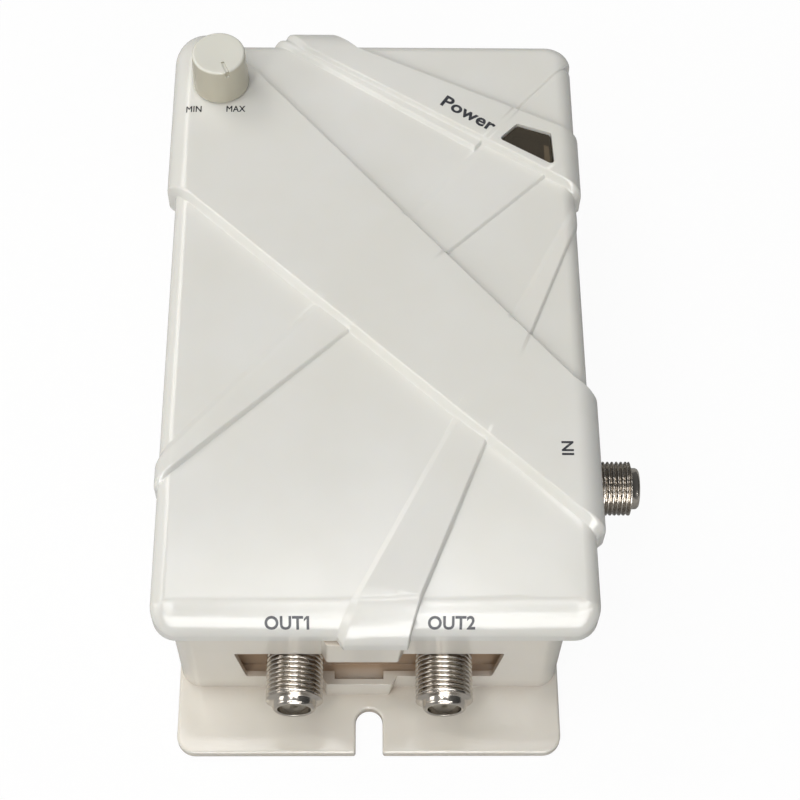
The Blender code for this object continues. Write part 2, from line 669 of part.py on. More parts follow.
def connector(name, tip, turn, looks, guide):
    """Shell, insulator and centre contact of one connector, pointing along the turned +Z axis."""
    metal, plastic, contact_metal = looks
    length = CONNECTOR_BLOCK + CONNECTOR_BARREL + CONNECTOR_NOSE
    rear = Vector(tip) - turn @ Vector((0, 0, length))
    shell = finish_object(f"connector_{name}", move(revolve(connector_profile()), rear, turn), metal)
    half = BLOCK_HALF
    body = move(block((-half, -half, 0), (half, half, CONNECTOR_BLOCK)), rear, turn)
    join(shell, finish_object(f"block_{name}", body, guide))
    rear_hole = move(cylinder(1.3 * MM, -MM, length - 11 * MM, 16), rear, turn)
    cut(shell, finish_object(f"rear_hole_{name}", rear_hole, guide))

    front = length - INSULATOR_RECESS
    back = length - 11.7 * MM
    bead = [(0.7 * MM, front), (1.2 * MM, front - 0.9 * MM), (1.2 * MM, back)]
    bead += [(2.6 * MM, back), (2.6 * MM, front)]
    finish_object(f"insulator_{name}", move(revolve(bead, closed=True), rear, turn), plastic)

    pin = [(0, -2 * MM), (0.5 * MM, -2 * MM), (0.5 * MM, back), (1.0 * MM, back)]
    pin += [(1.0 * MM, front - 1.2 * MM), (0.55 * MM, front - 1.2 * MM)]
    pin += [(0.55 * MM, back + 2 * MM), (0, back + 2 * MM)]
    contact = finish_object(f"contact_{name}", move(revolve(pin, 16), rear, turn), contact_metal)
    foot = rear - turn @ Vector((0, 0, 2.4 * MM))
    reach = 0.45 * MM
    low = (foot.x - reach, foot.y - reach, ON_BOARD)
    high = (foot.x + reach, foot.y + reach, CONNECTOR_Z + reach)
    join(contact, finish_object(f"contact_leg_{name}", block(low, high), guide))


def connectors(metal, plastic, contact_metal, guide):
    looks = (metal, plastic, contact_metal)
    connector("out1", (-OUT_X, OUT_TIP_Y, CONNECTOR_Z), TOWARDS_FRONT, looks, guide)
    connector("out2", (OUT_X, OUT_TIP_Y, CONNECTOR_Z), TOWARDS_FRONT, looks, guide)
    connector("in", (IN_TIP_X, IN_Y, CONNECTOR_Z), TOWARDS_SIDE, looks, guide)


# ---------------------------------------------------------------- lamp and power jack


def lamp(lens_look, led_look, guide):
    flange_low = COVER_CEILING - GAP - 0.8 * MM
    flange = prism(lens_outline(LENS_FLANGE), flange_low, flange_low + 0.8 * MM)
    lens = finish_object("power_lens", prism(lens_outline(0.0), flange_low + 0.4 * MM, LENS_TOP), lens_look)
    join(lens, finish_object("lens_flange", flange, guide))
    pocket = move(cylinder(LED_R + 0.5 * MM, flange_low - MM, LED_TOP + 0.5 * MM), at(LED_XY))
    cut(lens, finish_object("lens_pocket", pocket, guide))

    base = 26.5 * MM
    profile = [(0, base), (LED_R + 0.3 * MM, base), (LED_R + 0.3 * MM, base + MM), (LED_R, base + MM)]
    for step in range(5):
        lean = math.pi / 2 * step / 4
        profile.append((LED_R * math.cos(lean), LED_TOP - LED_R + LED_R * math.sin(lean)))
    profile[-1] = (0, LED_TOP)
    led = finish_object("power_led", move(revolve(profile, 20), at(LED_XY)), led_look)
    for side in (-1, 1):
        x = LED_XY.x + side * 1.27 * MM
        low = (x - LED_LEG_HALF, LED_XY.y - LED_LEG_HALF, ON_BOARD)
        high = (x + LED_LEG_HALF, LED_XY.y + LED_LEG_HALF, base + 0.4 * MM)
        join(led, finish_object(f"led_leg_{side + 2}", block(low, high), guide))


def power_jack(dark, metal, guide):
    back = CASE_REAR_Y - 0.2 * MM
    low = (JACK_X - JACK_HALF_X, back - JACK_DEPTH, ON_BOARD)
    high = (JACK_X + JACK_HALF_X, back, ON_BOARD + JACK_HEIGHT)
    jack = finish_object("dc_jack_body", block(low, high), dark)
    centre = Vector((JACK_X, back, ON_BOARD + 6.2 * MM))
    bore = move(cylinder(JACK_BORE_R, -MM, 9.5 * MM), centre, TOWARDS_FRONT)
    cut(jack, finish_object("jack_bore", bore, guide))
    pin = [(0, 1.2 * MM), (0.7 * MM, 1.2 * MM), (1.0 * MM, 1.6 * MM), (1.0 * MM, 9.2 * MM), (0, 9.2 * MM)]
    finish_object("dc_jack_pin", move(revolve(pin, 16), centre, TOWARDS_FRONT), metal)


# ---------------------------------------------------------------- circuit board


def circuit_board(look, guide):
    outline = plan(rounded_rectangle(BOARD_HALF_X, BOARD_HALF_Y, 1.5 * MM, 2))
    board = finish_object("circuit_board", prism(outline, BOARD_LOW, BOARD_HIGH), look)
    for number, xy in enumerate(CASE_SCREWS):
        hole = move(cylinder(BOSS_R + 0.4 * MM, BOARD_LOW - MM, BOARD_HIGH + MM, 16), at(xy))
        cut(board, finish_object(f"board_boss_hole_{number}", hole, guide))
    for number, xy in enumerate(BOARD_SCREWS):
        hole = move(cylinder(1.3 * MM, BOARD_LOW - MM, BOARD_HIGH + MM, 12), at(xy))
        cut(board, finish_object(f"board_screw_hole_{number}", hole, guide))


def shield(look, guide):
    """Tinned fence round the radio-frequency stage, with a push-on lid."""
    low_x, low_y, high_x, high_y = -18 * MM, -38 * MM, 18 * MM, 4 * MM
    sheet = 0.5 * MM
    fence_top = 14.0 * MM
    lid_skirt = 2.5 * MM
    fence = finish_object("shield_frame", block((low_x, low_y, ON_BOARD), (high_x, high_y, fence_top)), look)
    room = block((low_x + sheet, low_y + sheet, 0), (high_x - sheet, high_y - sheet, fence_top + MM))
    cut(fence, finish_object("shield_room", room, guide))
    reach = sheet + GAP
    lid_low = (low_x - reach, low_y - reach, fence_top - lid_skirt)
    lid_high = (high_x + reach, high_y + reach, fence_top + GAP + sheet)
    lid = finish_object("shield_lid", block(lid_low, lid_high), look)
    under = block((low_x - GAP, low_y - GAP, 0), (high_x + GAP, high_y + GAP, fence_top + GAP))
    cut(lid, finish_object("shield_lid_hollow", under, guide))


def board_components(dark, ferrite, sleeve, copper, steel, guide):
    chip = block((-3 * MM, -20 * MM, ON_BOARD), (3 * MM, -14 * MM, ON_BOARD + 1.6 * MM))
    finish_object("amplifier_chip", chip, dark)

    core_block = block((-4 * MM, -33 * MM, ON_BOARD), (4 * MM, -28 * MM, ON_BOARD + 4.4 * MM))
    core = finish_object("splitter_core", core_block, ferrite)
    for side in (-1, 1):
        start = Vector((side * 1.9 * MM, -27 * MM, ON_BOARD + 2.2 * MM))
        hole = move(cylinder(1.0 * MM, 0, 7 * MM, 12), start, TOWARDS_FRONT)
        cut(core, finish_object(f"core_hole_{side + 2}", hole, guide))

    for number, xy in enumerate(((-12.0, 24.0), (0.0, 24.0)), start=1):
        radius = 4.0 * MM
        groove = 0.4 * MM
        can = [(0, 0), (radius - groove, 0), (radius, groove), (radius, 1.6 * MM)]
        can += [(radius - groove, 2.0 * MM), (radius, 2.4 * MM), (radius, 11.0 * MM)]
        can += [(radius - groove, 11.5 * MM), (0, 11.5 * MM)]
        place = at(Vector(xy) * MM, ON_BOARD)
        finish_object(f"bulk_capacitor_{number}", move(revolve(can, 20), place), sleeve)

    drum = [(0, 0), (4 * MM, 0), (4 * MM, 1.2 * MM), (3.4 * MM, 1.2 * MM), (3.4 * MM, 4.8 * MM)]
    drum += [(4 * MM, 4.8 * MM), (4 * MM, 6 * MM), (0, 6 * MM)]
    finish_object("power_inductor", move(revolve(drum, 20), at((12 * MM, 24 * MM), ON_BOARD)), copper)

    regulator_body = block((7 * MM, 34 * MM, ON_BOARD), (17 * MM, 38.5 * MM, ON_BOARD + 9 * MM))
    regulator = finish_object("voltage_regulator", regulator_body, dark)
    heat_tab = block((7 * MM, 37.2 * MM, ON_BOARD + 4 * MM), (17 * MM, 38.5 * MM, ON_BOARD + 15 * MM))
    join(regulator, finish_object("regulator_tab", heat_tab, guide))

    diode = [(0, 0), (0.4 * MM, 0), (0.4 * MM, 2 * MM), (1.4 * MM, 2 * MM)]
    diode += [(1.4 * MM, 7 * MM), (0.4 * MM, 7 * MM), (0.4 * MM, 9 * MM), (0, 9 * MM)]
    start = Vector((-16 * MM, 36 * MM, ON_BOARD + 1.5 * MM))
    finish_object("polarity_diode", move(revolve(diode, 12), start, TOWARDS_SIDE), dark)


# ---------------------------------------------------------------- screws


def screw(name, place, head_r, head_high, shank_r, shank_high, look, guide):
    """Pan-head screw pointing along the turned +Z axis, with a cross recess in its head."""
    turn, foot = place
    profile = [(0, 0), (head_r - 0.5 * MM, 0), (head_r, 0.5 * MM), (head_r, head_high), (shank_r, head_high)]
    profile += [(shank_r, shank_high - 0.8 * MM), (shank_r * 0.4, shank_high), (0, shank_high)]
    made = finish_object(name, revolve(profile, 16), look)
    recess_low = -0.5 * MM
    recess_high = head_high * 0.55
    arm = head_r * 0.55
    half = 0.35 * MM
    for label, reach_x, reach_y in (("a", arm, half), ("b", half, arm)):
        slot = block((-reach_x, -reach_y, recess_low), (reach_x, reach_y, recess_high))
        tool = finish_object(f"{name}_{label}", slot, guide)
        tool.parent = made
        cut(made, tool)
    made.rotation_euler = turn.to_euler()
    made.location = foot


def screws(look, guide):
    up = Matrix.Identity(3)
    down = Matrix.Rotation(math.pi, 3, "X")
    head_high = 1.8 * MM
    for number, xy in enumerate(CASE_SCREWS, start=1):
        foot = at(xy, SCREW_LEDGE - GAP - head_high)
        screw(f"case_screw_{number}", (up, foot), 2.7 * MM, head_high, 1.4 * MM, 13 * MM, look, guide)
    head_high = 1.5 * MM
    for number, xy in enumerate(BOARD_SCREWS, start=1):
        foot = at(xy, BOARD_HIGH + GAP + head_high)
        screw(f"board_screw_{number}", (down, foot), 2.3 * MM, head_high, 1.0 * MM, 6.6 * MM, look, guide)


def build():
    for old in list(bpy.data.objects):
        bpy.data.objects.remove(old, do_unlink=True)
    ivory = material("ivory_plastic", (0.84, 0.82, 0.76), 0.28)
    knob_plastic = material("knob_plastic", (0.86, 0.83, 0.76), 0.35)
    nickel = material("nickel", (0.62, 0.58, 0.52), 0.22, 1.0)
    steel = material("steel", (0.55, 0.55, 0.56), 0.35, 1.0)
    tin = material("tinned_sheet", (0.66, 0.66, 0.68), 0.3, 1.0)
    brass = material("contact_brass", (0.78, 0.60, 0.28), 0.3, 1.0)
    bead = material("insulator_plastic", (0.85, 0.85, 0.82), 0.5)
    smoked = material("smoked_lens", (0.22, 0.19, 0.16), 0.1)
    lamp_look = material("lamp_plastic", (0.75, 0.80, 0.72), 0.15)
    board_look = material("board_laminate", (0.05, 0.30, 0.13), 0.45)
    black = material("black_plastic", (0.03, 0.03, 0.035), 0.45)
    ferrite = material("ferrite", (0.10, 0.10, 0.11), 0.6)
    sleeve = material("capacitor_sleeve", (0.05, 0.08, 0.22), 0.35)
    copper = material("copper_winding", (0.62, 0.30, 0.14), 0.35, 1.0)
    guide = material("guide", (0.5, 0.5, 0.5), 0.5)

    base_case(ivory, guide)
    top_cover(ivory, guide)
    gain_control(knob_plastic, steel, black, guide)
    lamp(smoked, lamp_look, guide)
    circuit_board(board_look, guide)
    connectors(nickel, bead, brass, guide)
    shield(tin, guide)
    board_components(black, ferrite, sleeve, copper, steel, guide)
    power_jack(black, brass, guide)
    screws(steel, guide)


build()
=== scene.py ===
"""Looks for the signal booster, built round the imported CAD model. All sizes are in metres.

The cover, wall case, knob, connectors, lens and lamp are rebuilt here with finer surfaces in the places that
the CAD nodes give. The circuit board and everything else inside keep their CAD meshes and get materials.
"""

import math

import bmesh
import bpy
from mathutils import Matrix, Vector
from mathutils.bvhtree import BVHTree


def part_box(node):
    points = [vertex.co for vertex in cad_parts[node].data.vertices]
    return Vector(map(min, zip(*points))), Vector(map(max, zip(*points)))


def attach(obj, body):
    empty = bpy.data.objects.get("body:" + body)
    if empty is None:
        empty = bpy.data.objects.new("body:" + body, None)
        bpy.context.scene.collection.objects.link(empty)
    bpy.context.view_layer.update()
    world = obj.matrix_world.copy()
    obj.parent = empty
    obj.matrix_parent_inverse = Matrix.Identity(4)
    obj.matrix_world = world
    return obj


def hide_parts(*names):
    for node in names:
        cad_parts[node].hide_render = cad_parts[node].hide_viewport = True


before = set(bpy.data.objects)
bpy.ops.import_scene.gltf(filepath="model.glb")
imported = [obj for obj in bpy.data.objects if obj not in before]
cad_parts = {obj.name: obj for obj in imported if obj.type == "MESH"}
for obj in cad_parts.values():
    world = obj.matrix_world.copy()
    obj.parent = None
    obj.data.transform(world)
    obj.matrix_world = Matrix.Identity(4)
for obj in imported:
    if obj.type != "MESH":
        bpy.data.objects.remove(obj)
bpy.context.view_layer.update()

MM = 0.001
UP = Vector((0, 0, 1))


def box_of(node):
    """Lowest corner, highest corner and middle of a CAD node."""
    low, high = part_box(node)
    return low, high, (low + high) / 2


BASE_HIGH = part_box("base_case")[1]
KNOB_LOW, KNOB_HIGH, KNOB_MIDDLE = box_of("gain_knob")
LENS_LOW, LENS_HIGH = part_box("power_lens")
LED_LOW, LED_HIGH, LED_MIDDLE = box_of("power_led")

# Cover
COVER_MID_X = 1.0 * MM
COVER_HALF_X = 36.2 * MM
COVER_FRONT_Y = -58.2 * MM
COVER_REAR_Y = 60.1 * MM
COVER_CORNER = 4.2 * MM
BAND_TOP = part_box("top_cover")[1].z
COVER_RIM = BAND_TOP - 8.7 * MM
HIGH_BAND = 1.8 * MM
LOW_BAND = 0.8 * MM
FAINT_BAND = 0.2 * MM
COVER_TOP = BAND_TOP - HIGH_BAND
COVER_SIDE_ROUND = 2.6 * MM
COVER_FRONT_ROUND = 5.0 * MM
FRONT_FLATNESS = 1.5  # power of the front edge's round: 2 is a circle, 1 a straight chamfer
COVER_WALL = 1.8 * MM
SOFT_EDGE = 0.9 * MM
STEEP_EDGE = 0.5 * MM
FIRM_EDGE = 0.4 * MM
CRISP_EDGE = 0.25 * MM
EDGE_TOP_ROUND = 0.22 * MM
EDGE_FOOT_ROUND = 0.08 * MM

# Wall case
PLATE_THICK = 2.0 * MM
PLATE_CORNER = 3.2 * MM
PLATE_EDGE = 0.45 * MM
CASE_HALF_X = 32.4 * MM
CASE_FRONT_Y = -57.35 * MM
CASE_REAR_Y = 58.75 * MM
CASE_MIDDLE = (0.0, (CASE_FRONT_Y + CASE_REAR_Y) / 2)
CASE_HALF_Y = (CASE_REAR_Y - CASE_FRONT_Y) / 2
CASE_CORNER = 3.6 * MM
CASE_WALL = 1.6 * MM
CASE_SIDE_WALL = 1.2 * MM
CASE_TOP = COVER_RIM - 0.3 * MM
LIP_HALF_Y = 49.0 * MM

# Output window in the front wall, the bulkhead behind it and the raised strip across it
WINDOW_LOW = 7.0 * MM
WINDOW_HIGH = 17.5 * MM
WINDOW_HALF_LOW = 20.9 * MM
WINDOW_HALF_HIGH = 22.4 * MM
WINDOW_WALL = 1.0 * MM
BULKHEAD_FRONT_Y = -54.8 * MM
BULKHEAD_BACK_Y = -53.6 * MM
BULKHEAD_HALF_X = 22.6 * MM
BULKHEAD_TOP = 21.0 * MM
SHELF_TOP = 6.0 * MM
STRIP_RISE = 1.45 * MM
STRIP_LEFT = (-6.9 * MM, -7.3 * MM)  # at the case's top and at the plate
STRIP_RIGHT = (5.3 * MM, 3.4 * MM)

# Screw slots, posts, bosses and holes
SLOT_WIDE = 4.6 * MM
SLOT_BOTTOM_Y = 61.3 * MM
SHAFT_HOLE_R = 3.0 * MM
POST_R = 3.5 * MM
POST_FOOT = 14.0 * MM
POST_HOLE_R = 1.6 * MM
POST_HOLE_TOP = 23.0 * MM
BOSS_R = 4.2 * MM
BOSS_TOP = 13.7 * MM
HEAD_HOLE_R = 3.1 * MM
HEAD_SEAT = 9.5 * MM
SCREW_HOLE_R = 1.75 * MM
STANDOFF_R = 2.8 * MM
STANDOFF_TOP = 5.5 * MM
PILOT_R = 1.15 * MM
PILOT_FOOT = 1.2 * MM
PORT_HOLE_R = 5.15 * MM
PORT_HOLE_START = 18.0 * MM  # behind the connector's tip
JACK_GAP = 0.3 * MM
WIRE_PITCH = 0.5 * MM
LIGHT_DISTANCE = 1.2


# ---------------------------------------------------------------- materials


class Look:
    """A node material under construction."""

    def __init__(self, name):
        self.material = bpy.data.materials.new(name)
        self.material.use_nodes = True
        self.tree = self.material.node_tree
        self.tree.nodes.clear()
        self.output = self.tree.nodes.new("ShaderNodeOutputMaterial")

    def node(self, kind, settings=None, **inputs):
        made = self.tree.nodes.new("ShaderNode" + kind)
        for name, value in (settings or {}).items():
            setattr(made, name, value)
        for name, value in inputs.items():
            self.feed(made, name.replace("_", " "), value)
        return made

    def feed(self, node, name, value):
        socket = node.inputs[name]
        if isinstance(value, bpy.types.NodeSocket):
            self.tree.links.new(value, socket)
        elif isinstance(value, bpy.types.Node):
            self.tree.links.new(value.outputs[0], socket)
        elif isinstance(value, tuple) and len(value) == 3 and socket.type == "RGBA":
            socket.default_value = (*value, 1.0)
        else:
            socket.default_value = value

    def place(self):
        return self.node("TexCoord").outputs["Object"]

    def noise(self, scale, detail=2.0, rough=0.5):
        return self.node("TexNoise", Vector=self.place(), Scale=scale, Detail=detail, Roughness=rough)

    def spread(self, source, low, high, dark, light):
        """Map a value between two limits onto two numbers."""
        made = self.node("MapRange", Value=source)
        made.inputs["From Min"].default_value = low
        made.inputs["From Max"].default_value = high
        made.inputs["To Min"].default_value = dark
        made.inputs["To Max"].default_value = light
        return made

    def blend(self, share, first, second):
        made = self.node("Mix", {"data_type": "RGBA"})
        for socket, value in (("Factor", share), ("A", first), ("B", second)):
            target = [s for s in made.inputs if s.name == socket and s.enabled][0]
            if isinstance(value, (bpy.types.Node, bpy.types.NodeSocket)):
                source = value if isinstance(value, bpy.types.NodeSocket) else value.outputs[0]
                self.tree.links.new(source, target)
            elif socket == "Factor":
                target.default_value = value
            else:
                target.default_value = (*value, 1.0)
        return [s for s in made.outputs if s.enabled][0]

    def maths(self, operation, first, second):
        """A maths node with two inputs."""
        made = self.node("Math", {"operation": operation})
        for socket, value in zip(made.inputs, (first, second)):
            if isinstance(value, bpy.types.Node):
                value = value.outputs[0]
            if isinstance(value, bpy.types.NodeSocket):
                self.tree.links.new(value, socket)
            else:
                socket.default_value = value
        return made

    def bump(self, height, strength, distance, normal=None):
        made = self.node("Bump", Height=height, Strength=strength, Distance=distance)
        if normal is not None:
            self.feed(made, "Normal", normal)
        return made

    def mix_shaders(self, share, first, second):
        made = self.node("MixShader", Fac=share)
        for number, shader in ((1, first), (2, second)):
            self.tree.links.new(shader.outputs[0], made.inputs[number])
        return made

    def surface(self, shader):
        self.tree.links.new(shader.outputs[0], self.output.inputs["Surface"])
        return self.material


def ivory_plastic(name, colour, roughness, wave=0.0, shaded_side_colour=None, recess_shade_colour=None):
    """Glossy moulded plastic: slightly uneven tint and gloss, and a faint skin texture.

    With a shaded side colour, upright faces are painted darker and yellower than the top, as painted shade.
    With a recess shade colour, recesses and the inside of the output window are painted darker and browner,
    as painted shade."""
    look = Look(name)
    tint = look.noise(45.0, 3.0)
    darker = tuple(c * k for c, k in zip(colour, (0.965, 0.96, 0.94)))
    base = look.blend(look.spread(tint, 0.35, 0.65, 0.0, 1.0), darker, colour)
    # Painted shade: upright faces get the darker, yellower side colour, and the top keeps the plain colour.
    if shaded_side_colour:
        upward = look.node("SeparateXYZ", Vector=look.node("TexCoord").outputs["Normal"]).outputs["Z"]
        base = look.blend(look.spread(upward, 0.2, 0.8, 0.0, 1.0), shaded_side_colour, base)
    # Painted shade: where ambient occlusion finds a recess, the colour turns darker and browner.
    if recess_shade_colour:
        open_share = look.node("AmbientOcclusion", {"samples": 6}, Distance=7.0 * MM).outputs["AO"]
        base = look.blend(look.spread(open_share, 0.10, 0.62, 0.0, 1.0), recess_shade_colour, base)
        # Painted shade: inside the output window the colour is painted a dark brown.
        base = look.blend(window_shade_share(look), base, (0.46, 0.33, 0.22))
    gloss = look.spread(look.noise(260.0, 4.0), 0.3, 0.7, roughness * 0.85, roughness * 1.2)
    edges = look.node("Bevel", {"samples": 4}, Radius=0.12 * MM)
    skin = look.bump(look.noise(2600.0, 2.0), 0.05, 0.05 * MM, edges)
    sink = look.bump(look.noise(38.0, 1.0), wave, 1.0 * MM, skin) if wave else skin
    shader = look.node("BsdfPrincipled", Base_Color=base, Roughness=gloss, Normal=sink, IOR=1.5)
    shader.inputs["Subsurface Weight"].default_value = 0.12
    shader.inputs["Subsurface Radius"].default_value = (1.0, 0.75, 0.5)
    shader.inputs["Subsurface Scale"].default_value = 1.2 * MM
    return look.surface(shader)


def window_shade_share(look):
    """Painted shade: one deep inside the output window, where the case is painted its darkest brown, and none
    elsewhere.
    """
    split = look.node("SeparateXYZ", Vector=look.place())
    share = look.spread(split.outputs["Y"], CASE_FRONT_Y + 0.2 * MM, CASE_FRONT_Y + 2.4 * MM, 0.0, 1.0)
    near = look.maths("LESS_THAN", split.outputs["Y"], -50 * MM)
    inside = look.maths("LESS_THAN", look.maths("ABSOLUTE", split.outputs["X"], 0.0), 22.9 * MM)
    return look.maths("MULTIPLY", look.maths("MULTIPLY", share, near), inside)


def plated_metal(name, colour, roughness, grime=0.25):
    """Plated or drawn metal with fine scratches and darker patches."""
    look = Look(name)
    patch = look.spread(look.noise(420.0, 4.0), 0.35, 0.7, 0.0, grime)
    dark = tuple(c * 0.55 for c in colour)
    base = look.blend(patch, colour, dark)
    scratch = look.noise(5200.0, 3.0, 0.6)
    gloss = look.spread(look.noise(900.0, 3.0), 0.3, 0.7, roughness * 0.6, roughness * 1.5)
    edges = look.node("Bevel", {"samples": 4}, Radius=0.06 * MM)
    skin = look.bump(scratch, 0.12, 0.02 * MM, edges)
    shader = look.node("BsdfPrincipled", Base_Color=base, Roughness=gloss, Metallic=1.0, Normal=skin)
    return look.surface(shader)


def dull_plastic(name, colour, roughness, grain=1800.0, strength=0.25):
    """Matt moulded plastic or ceramic with a fine grain."""
    look = Look(name)
    tint = look.spread(look.noise(300.0, 4.0), 0.3, 0.7, 0.0, 1.0)
    base = look.blend(tint, tuple(c * 0.75 for c in colour), tuple(min(1.0, c * 1.2) for c in colour))
    edges = look.node("Bevel", {"samples": 4}, Radius=0.08 * MM)
    skin = look.bump(look.noise(grain, 3.0), strength, 0.05 * MM, edges)
    return look.surface(look.node("BsdfPrincipled", Base_Color=base, Roughness=roughness, Normal=skin))


def print_ink():
    look = Look("print_ink")
    wear = look.spread(look.noise(2400.0, 3.0), 0.35, 0.75, 0.0, 0.55)
    base = look.blend(wear, (0.012, 0.014, 0.02), (0.10, 0.10, 0.11))
    return look.surface(look.node("BsdfPrincipled", Base_Color=base, Roughness=0.4))


def smoked_lens():
    """Thin smoked plastic: light passes with a brown tint, and the skin is glossy."""
    look = Look("smoked_lens")
    cloud = look.spread(look.noise(700.0, 4.0), 0.3, 0.7, 0.0, 1.0)
    tint = look.blend(cloud, (0.34, 0.29, 0.22), (0.46, 0.40, 0.32))
    clear = look.node("BsdfTransparent", Color=tint)
    ripple = look.bump(look.noise(600.0, 2.0), 0.3, 0.1 * MM)
    body = look.node("BsdfPrincipled", Base_Color=(0.14, 0.12, 0.09), Roughness=0.12, Normal=ripple)
    return look.surface(look.mix_shaders(0.38, clear, body))


def lamp_plastic():
    look = Look("lamp_plastic")
    swirl = look.spread(look.noise(900.0, 3.0), 0.3, 0.7, 0.0, 1.0)
    base = look.blend(swirl, (0.62, 0.60, 0.54), (0.80, 0.79, 0.74))
    shader = look.node("BsdfPrincipled", Base_Color=base, Roughness=0.12)
    shader.inputs["Transmission Weight"].default_value = 0.3
    return look.surface(shader)


def board_laminate():
    """Green solder mask over copper tracks laid on a fine grid."""
    look = Look("board_laminate")
    grid = look.node("TexBrick", Vector=look.place(), Scale=1.0)
    grid.inputs["Brick Width"].default_value = 5.0 * MM
    grid.inputs["Row Height"].default_value = 1.6 * MM
    grid.inputs["Mortar Size"].default_value = 0.22 * MM
    blotch = look.spread(look.noise(160.0), 0.45, 0.55, 0.0, 1.0)
    tracks = look.maths("MULTIPLY", grid.outputs["Fac"], blotch)
    base = look.blend(tracks, (0.012, 0.11, 0.035), (0.05, 0.25, 0.08))
    skin = look.bump(tracks, 0.5, 0.05 * MM)
    return look.surface(look.node("BsdfPrincipled", Base_Color=base, Roughness=0.35, Normal=skin))


def copper_winding():
    """Enamelled wire wound round an upright core."""
    look = Look("copper_winding")
    height = look.node("SeparateXYZ", Vector=look.place()).outputs["Z"]
    wave = look.maths("SINE", look.maths("MULTIPLY", height, 2 * math.pi / WIRE_PITCH), 0.0)
    skin = look.bump(wave, 0.8, 0.1 * MM)
    colour = (0.55, 0.22, 0.07)
    shader = look.node("BsdfPrincipled", Base_Color=colour, Roughness=0.25, Metallic=0.8, Normal=skin)
    return look.surface(shader)


def floor_paper():
    """Plain white paper: brighter to the camera than to the object, so that it reads as white."""
    look = Look("floor_paper")
    grain = look.spread(look.noise(400.0, 3.0), 0.3, 0.7, 0.0, 1.0)
    base = look.blend(grain, (0.50, 0.50, 0.495), (0.54, 0.54, 0.535))
    paper = look.node("BsdfDiffuse", Color=base)
    glow = look.node("Emission", Color=(1.0, 1.0, 1.0), Strength=1.05)
    share = look.maths("MULTIPLY", look.node("LightPath").outputs["Is Camera Ray"], 0.9)
    return look.surface(look.mix_shaders(share, paper, glow))


# ---------------------------------------------------------------- mesh helpers


def at(xy, z=0.0):
    return Vector((xy[0], xy[1], z))


def loft(bm, rings):
    """Skin equal rings of points and cap both ends. Returns the faces, ring by ring."""
    made = [[bm.verts.new(point) for point in ring] for ring in rings]
    count = len(made[0])
    bands = []
    for low, high in zip(made, made[1:]):
        faces = []
        for i in range(count):
            j = (i + 1) % count
            faces.append(bm.faces.new((low[i], low[j], high[j], high[i])))
        bands.append(faces)
    bm.faces.new(list(reversed(made[0])))
    bands.append([bm.faces.new(made[-1])])
    return bands


def mesh_object(name, bm, look, sharp_angle=40.0):
    bmesh.ops.recalc_face_normals(bm, faces=bm.faces)
    mesh = bpy.data.meshes.new(name)
    bm.to_mesh(mesh)
    bm.free()
    mesh.materials.append(look)
    mesh.shade_smooth()
    mesh.set_sharp_from_angle(angle=math.radians(sharp_angle))
    made = bpy.data.objects.new(name, mesh)
    bpy.context.scene.collection.objects.link(made)
    return made


def boolean(target, bm, operation, look):
    """Join a bmesh to the target, or cut it out, and apply the change at once."""
    tool = mesh_object("tool", bm, look)
    change = target.modifiers.new("change", "BOOLEAN")
    change.operation = operation
    change.object = tool
    change.solver = "EXACT"
    bpy.context.view_layer.update()
    graph = bpy.context.evaluated_depsgraph_get()
    mesh = bpy.data.meshes.new_from_object(target.evaluated_get(graph))
    target.modifiers.clear()
    old = target.data
    target.data = mesh
    bpy.data.meshes.remove(old)
    bpy.data.objects.remove(tool)


def join(target, bm, look):
    boolean(target, bm, "UNION", look)


def cut(target, bm, look):
    boolean(target, bm, "DIFFERENCE", look)


def smooth_normals(target, sharp_angle=40.0):
    """Smooth shading that keeps large flat faces flat."""
    mesh = target.data
    mesh.shade_smooth()
    mesh.set_sharp_from_angle(angle=math.radians(sharp_angle))
    weighted = target.modifiers.new("weighted_normals", "WEIGHTED_NORMAL")
    weighted.keep_sharp = True
    weighted.weight = 100


def ride(piece, body, slot, *nodes):
    """Fasten a piece to its body, and let it stand for CAD nodes."""
    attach(piece, body)
    if nodes:
        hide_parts(*nodes)


class Path:
    """A closed plan outline made of corners, each with its own radius."""

    def __init__(self, corners, steps=8):
        self.points = []
        count = len(corners)
        for i, (x, y, radius) in enumerate(corners):
            here = Vector((x, y))
            before = Vector(corners[i - 1][:2]) - here
            after = Vector(corners[(i + 1) % count][:2]) - here
            self.corner(here, before.normalized(), after.normalized(), radius, steps)

    def corner(self, here, before, after, radius, steps):
        turn = (-before).cross(after)
        inward = (before + after).normalized()
        half = before.angle(after) / 2
        centre = here + inward * (radius / math.sin(half))
        side = 1.0 if turn > 0 else -1.0
        first = Vector((-before.y, before.x)) * side
        last = Vector((after.y, -after.x)) * side
        if first.dot(inward) > 0:
            first.negate()
        if last.dot(inward) > 0:
            last.negate()
        sweep = first.angle(last)
        for step in range(steps + 1):
            share = step / steps
            weight_a = math.sin((1 - share) * sweep) / math.sin(sweep)
            weight_b = math.sin(share * sweep) / math.sin(sweep)
            out = first * weight_a + last * weight_b
            self.points.append((centre + out * radius, out * side))

    def grown(self, distance):
        return [point + out * distance for point, out in self.points]


def quarter(steps):
    """Cosines and sines over a quarter turn."""
    leans = [math.pi / 2 * step / steps for step in range(steps + 1)]
    return [(math.cos(lean), math.sin(lean)) for lean in leans]


def soft_prism(path, low, high, foot_round, top_round, steps=4):
    """Upright prism with rounded lower and upper edges."""
    levels = [(foot_round * (1 - s), low + foot_round * (1 - c)) for c, s in quarter(steps)]
    levels += [(top_round * (1 - c), high - top_round * (1 - s)) for c, s in quarter(steps)]
    kept = [levels[0]]
    for inset, z in levels[1:]:
        if abs(inset - kept[-1][0]) + abs(z - kept[-1][1]) > 1e-7:
            kept.append((inset, z))
    bm = bmesh.new()
    loft(bm, [[at(p, z) for p in path.grown(-inset)] for inset, z in kept])
    return bm


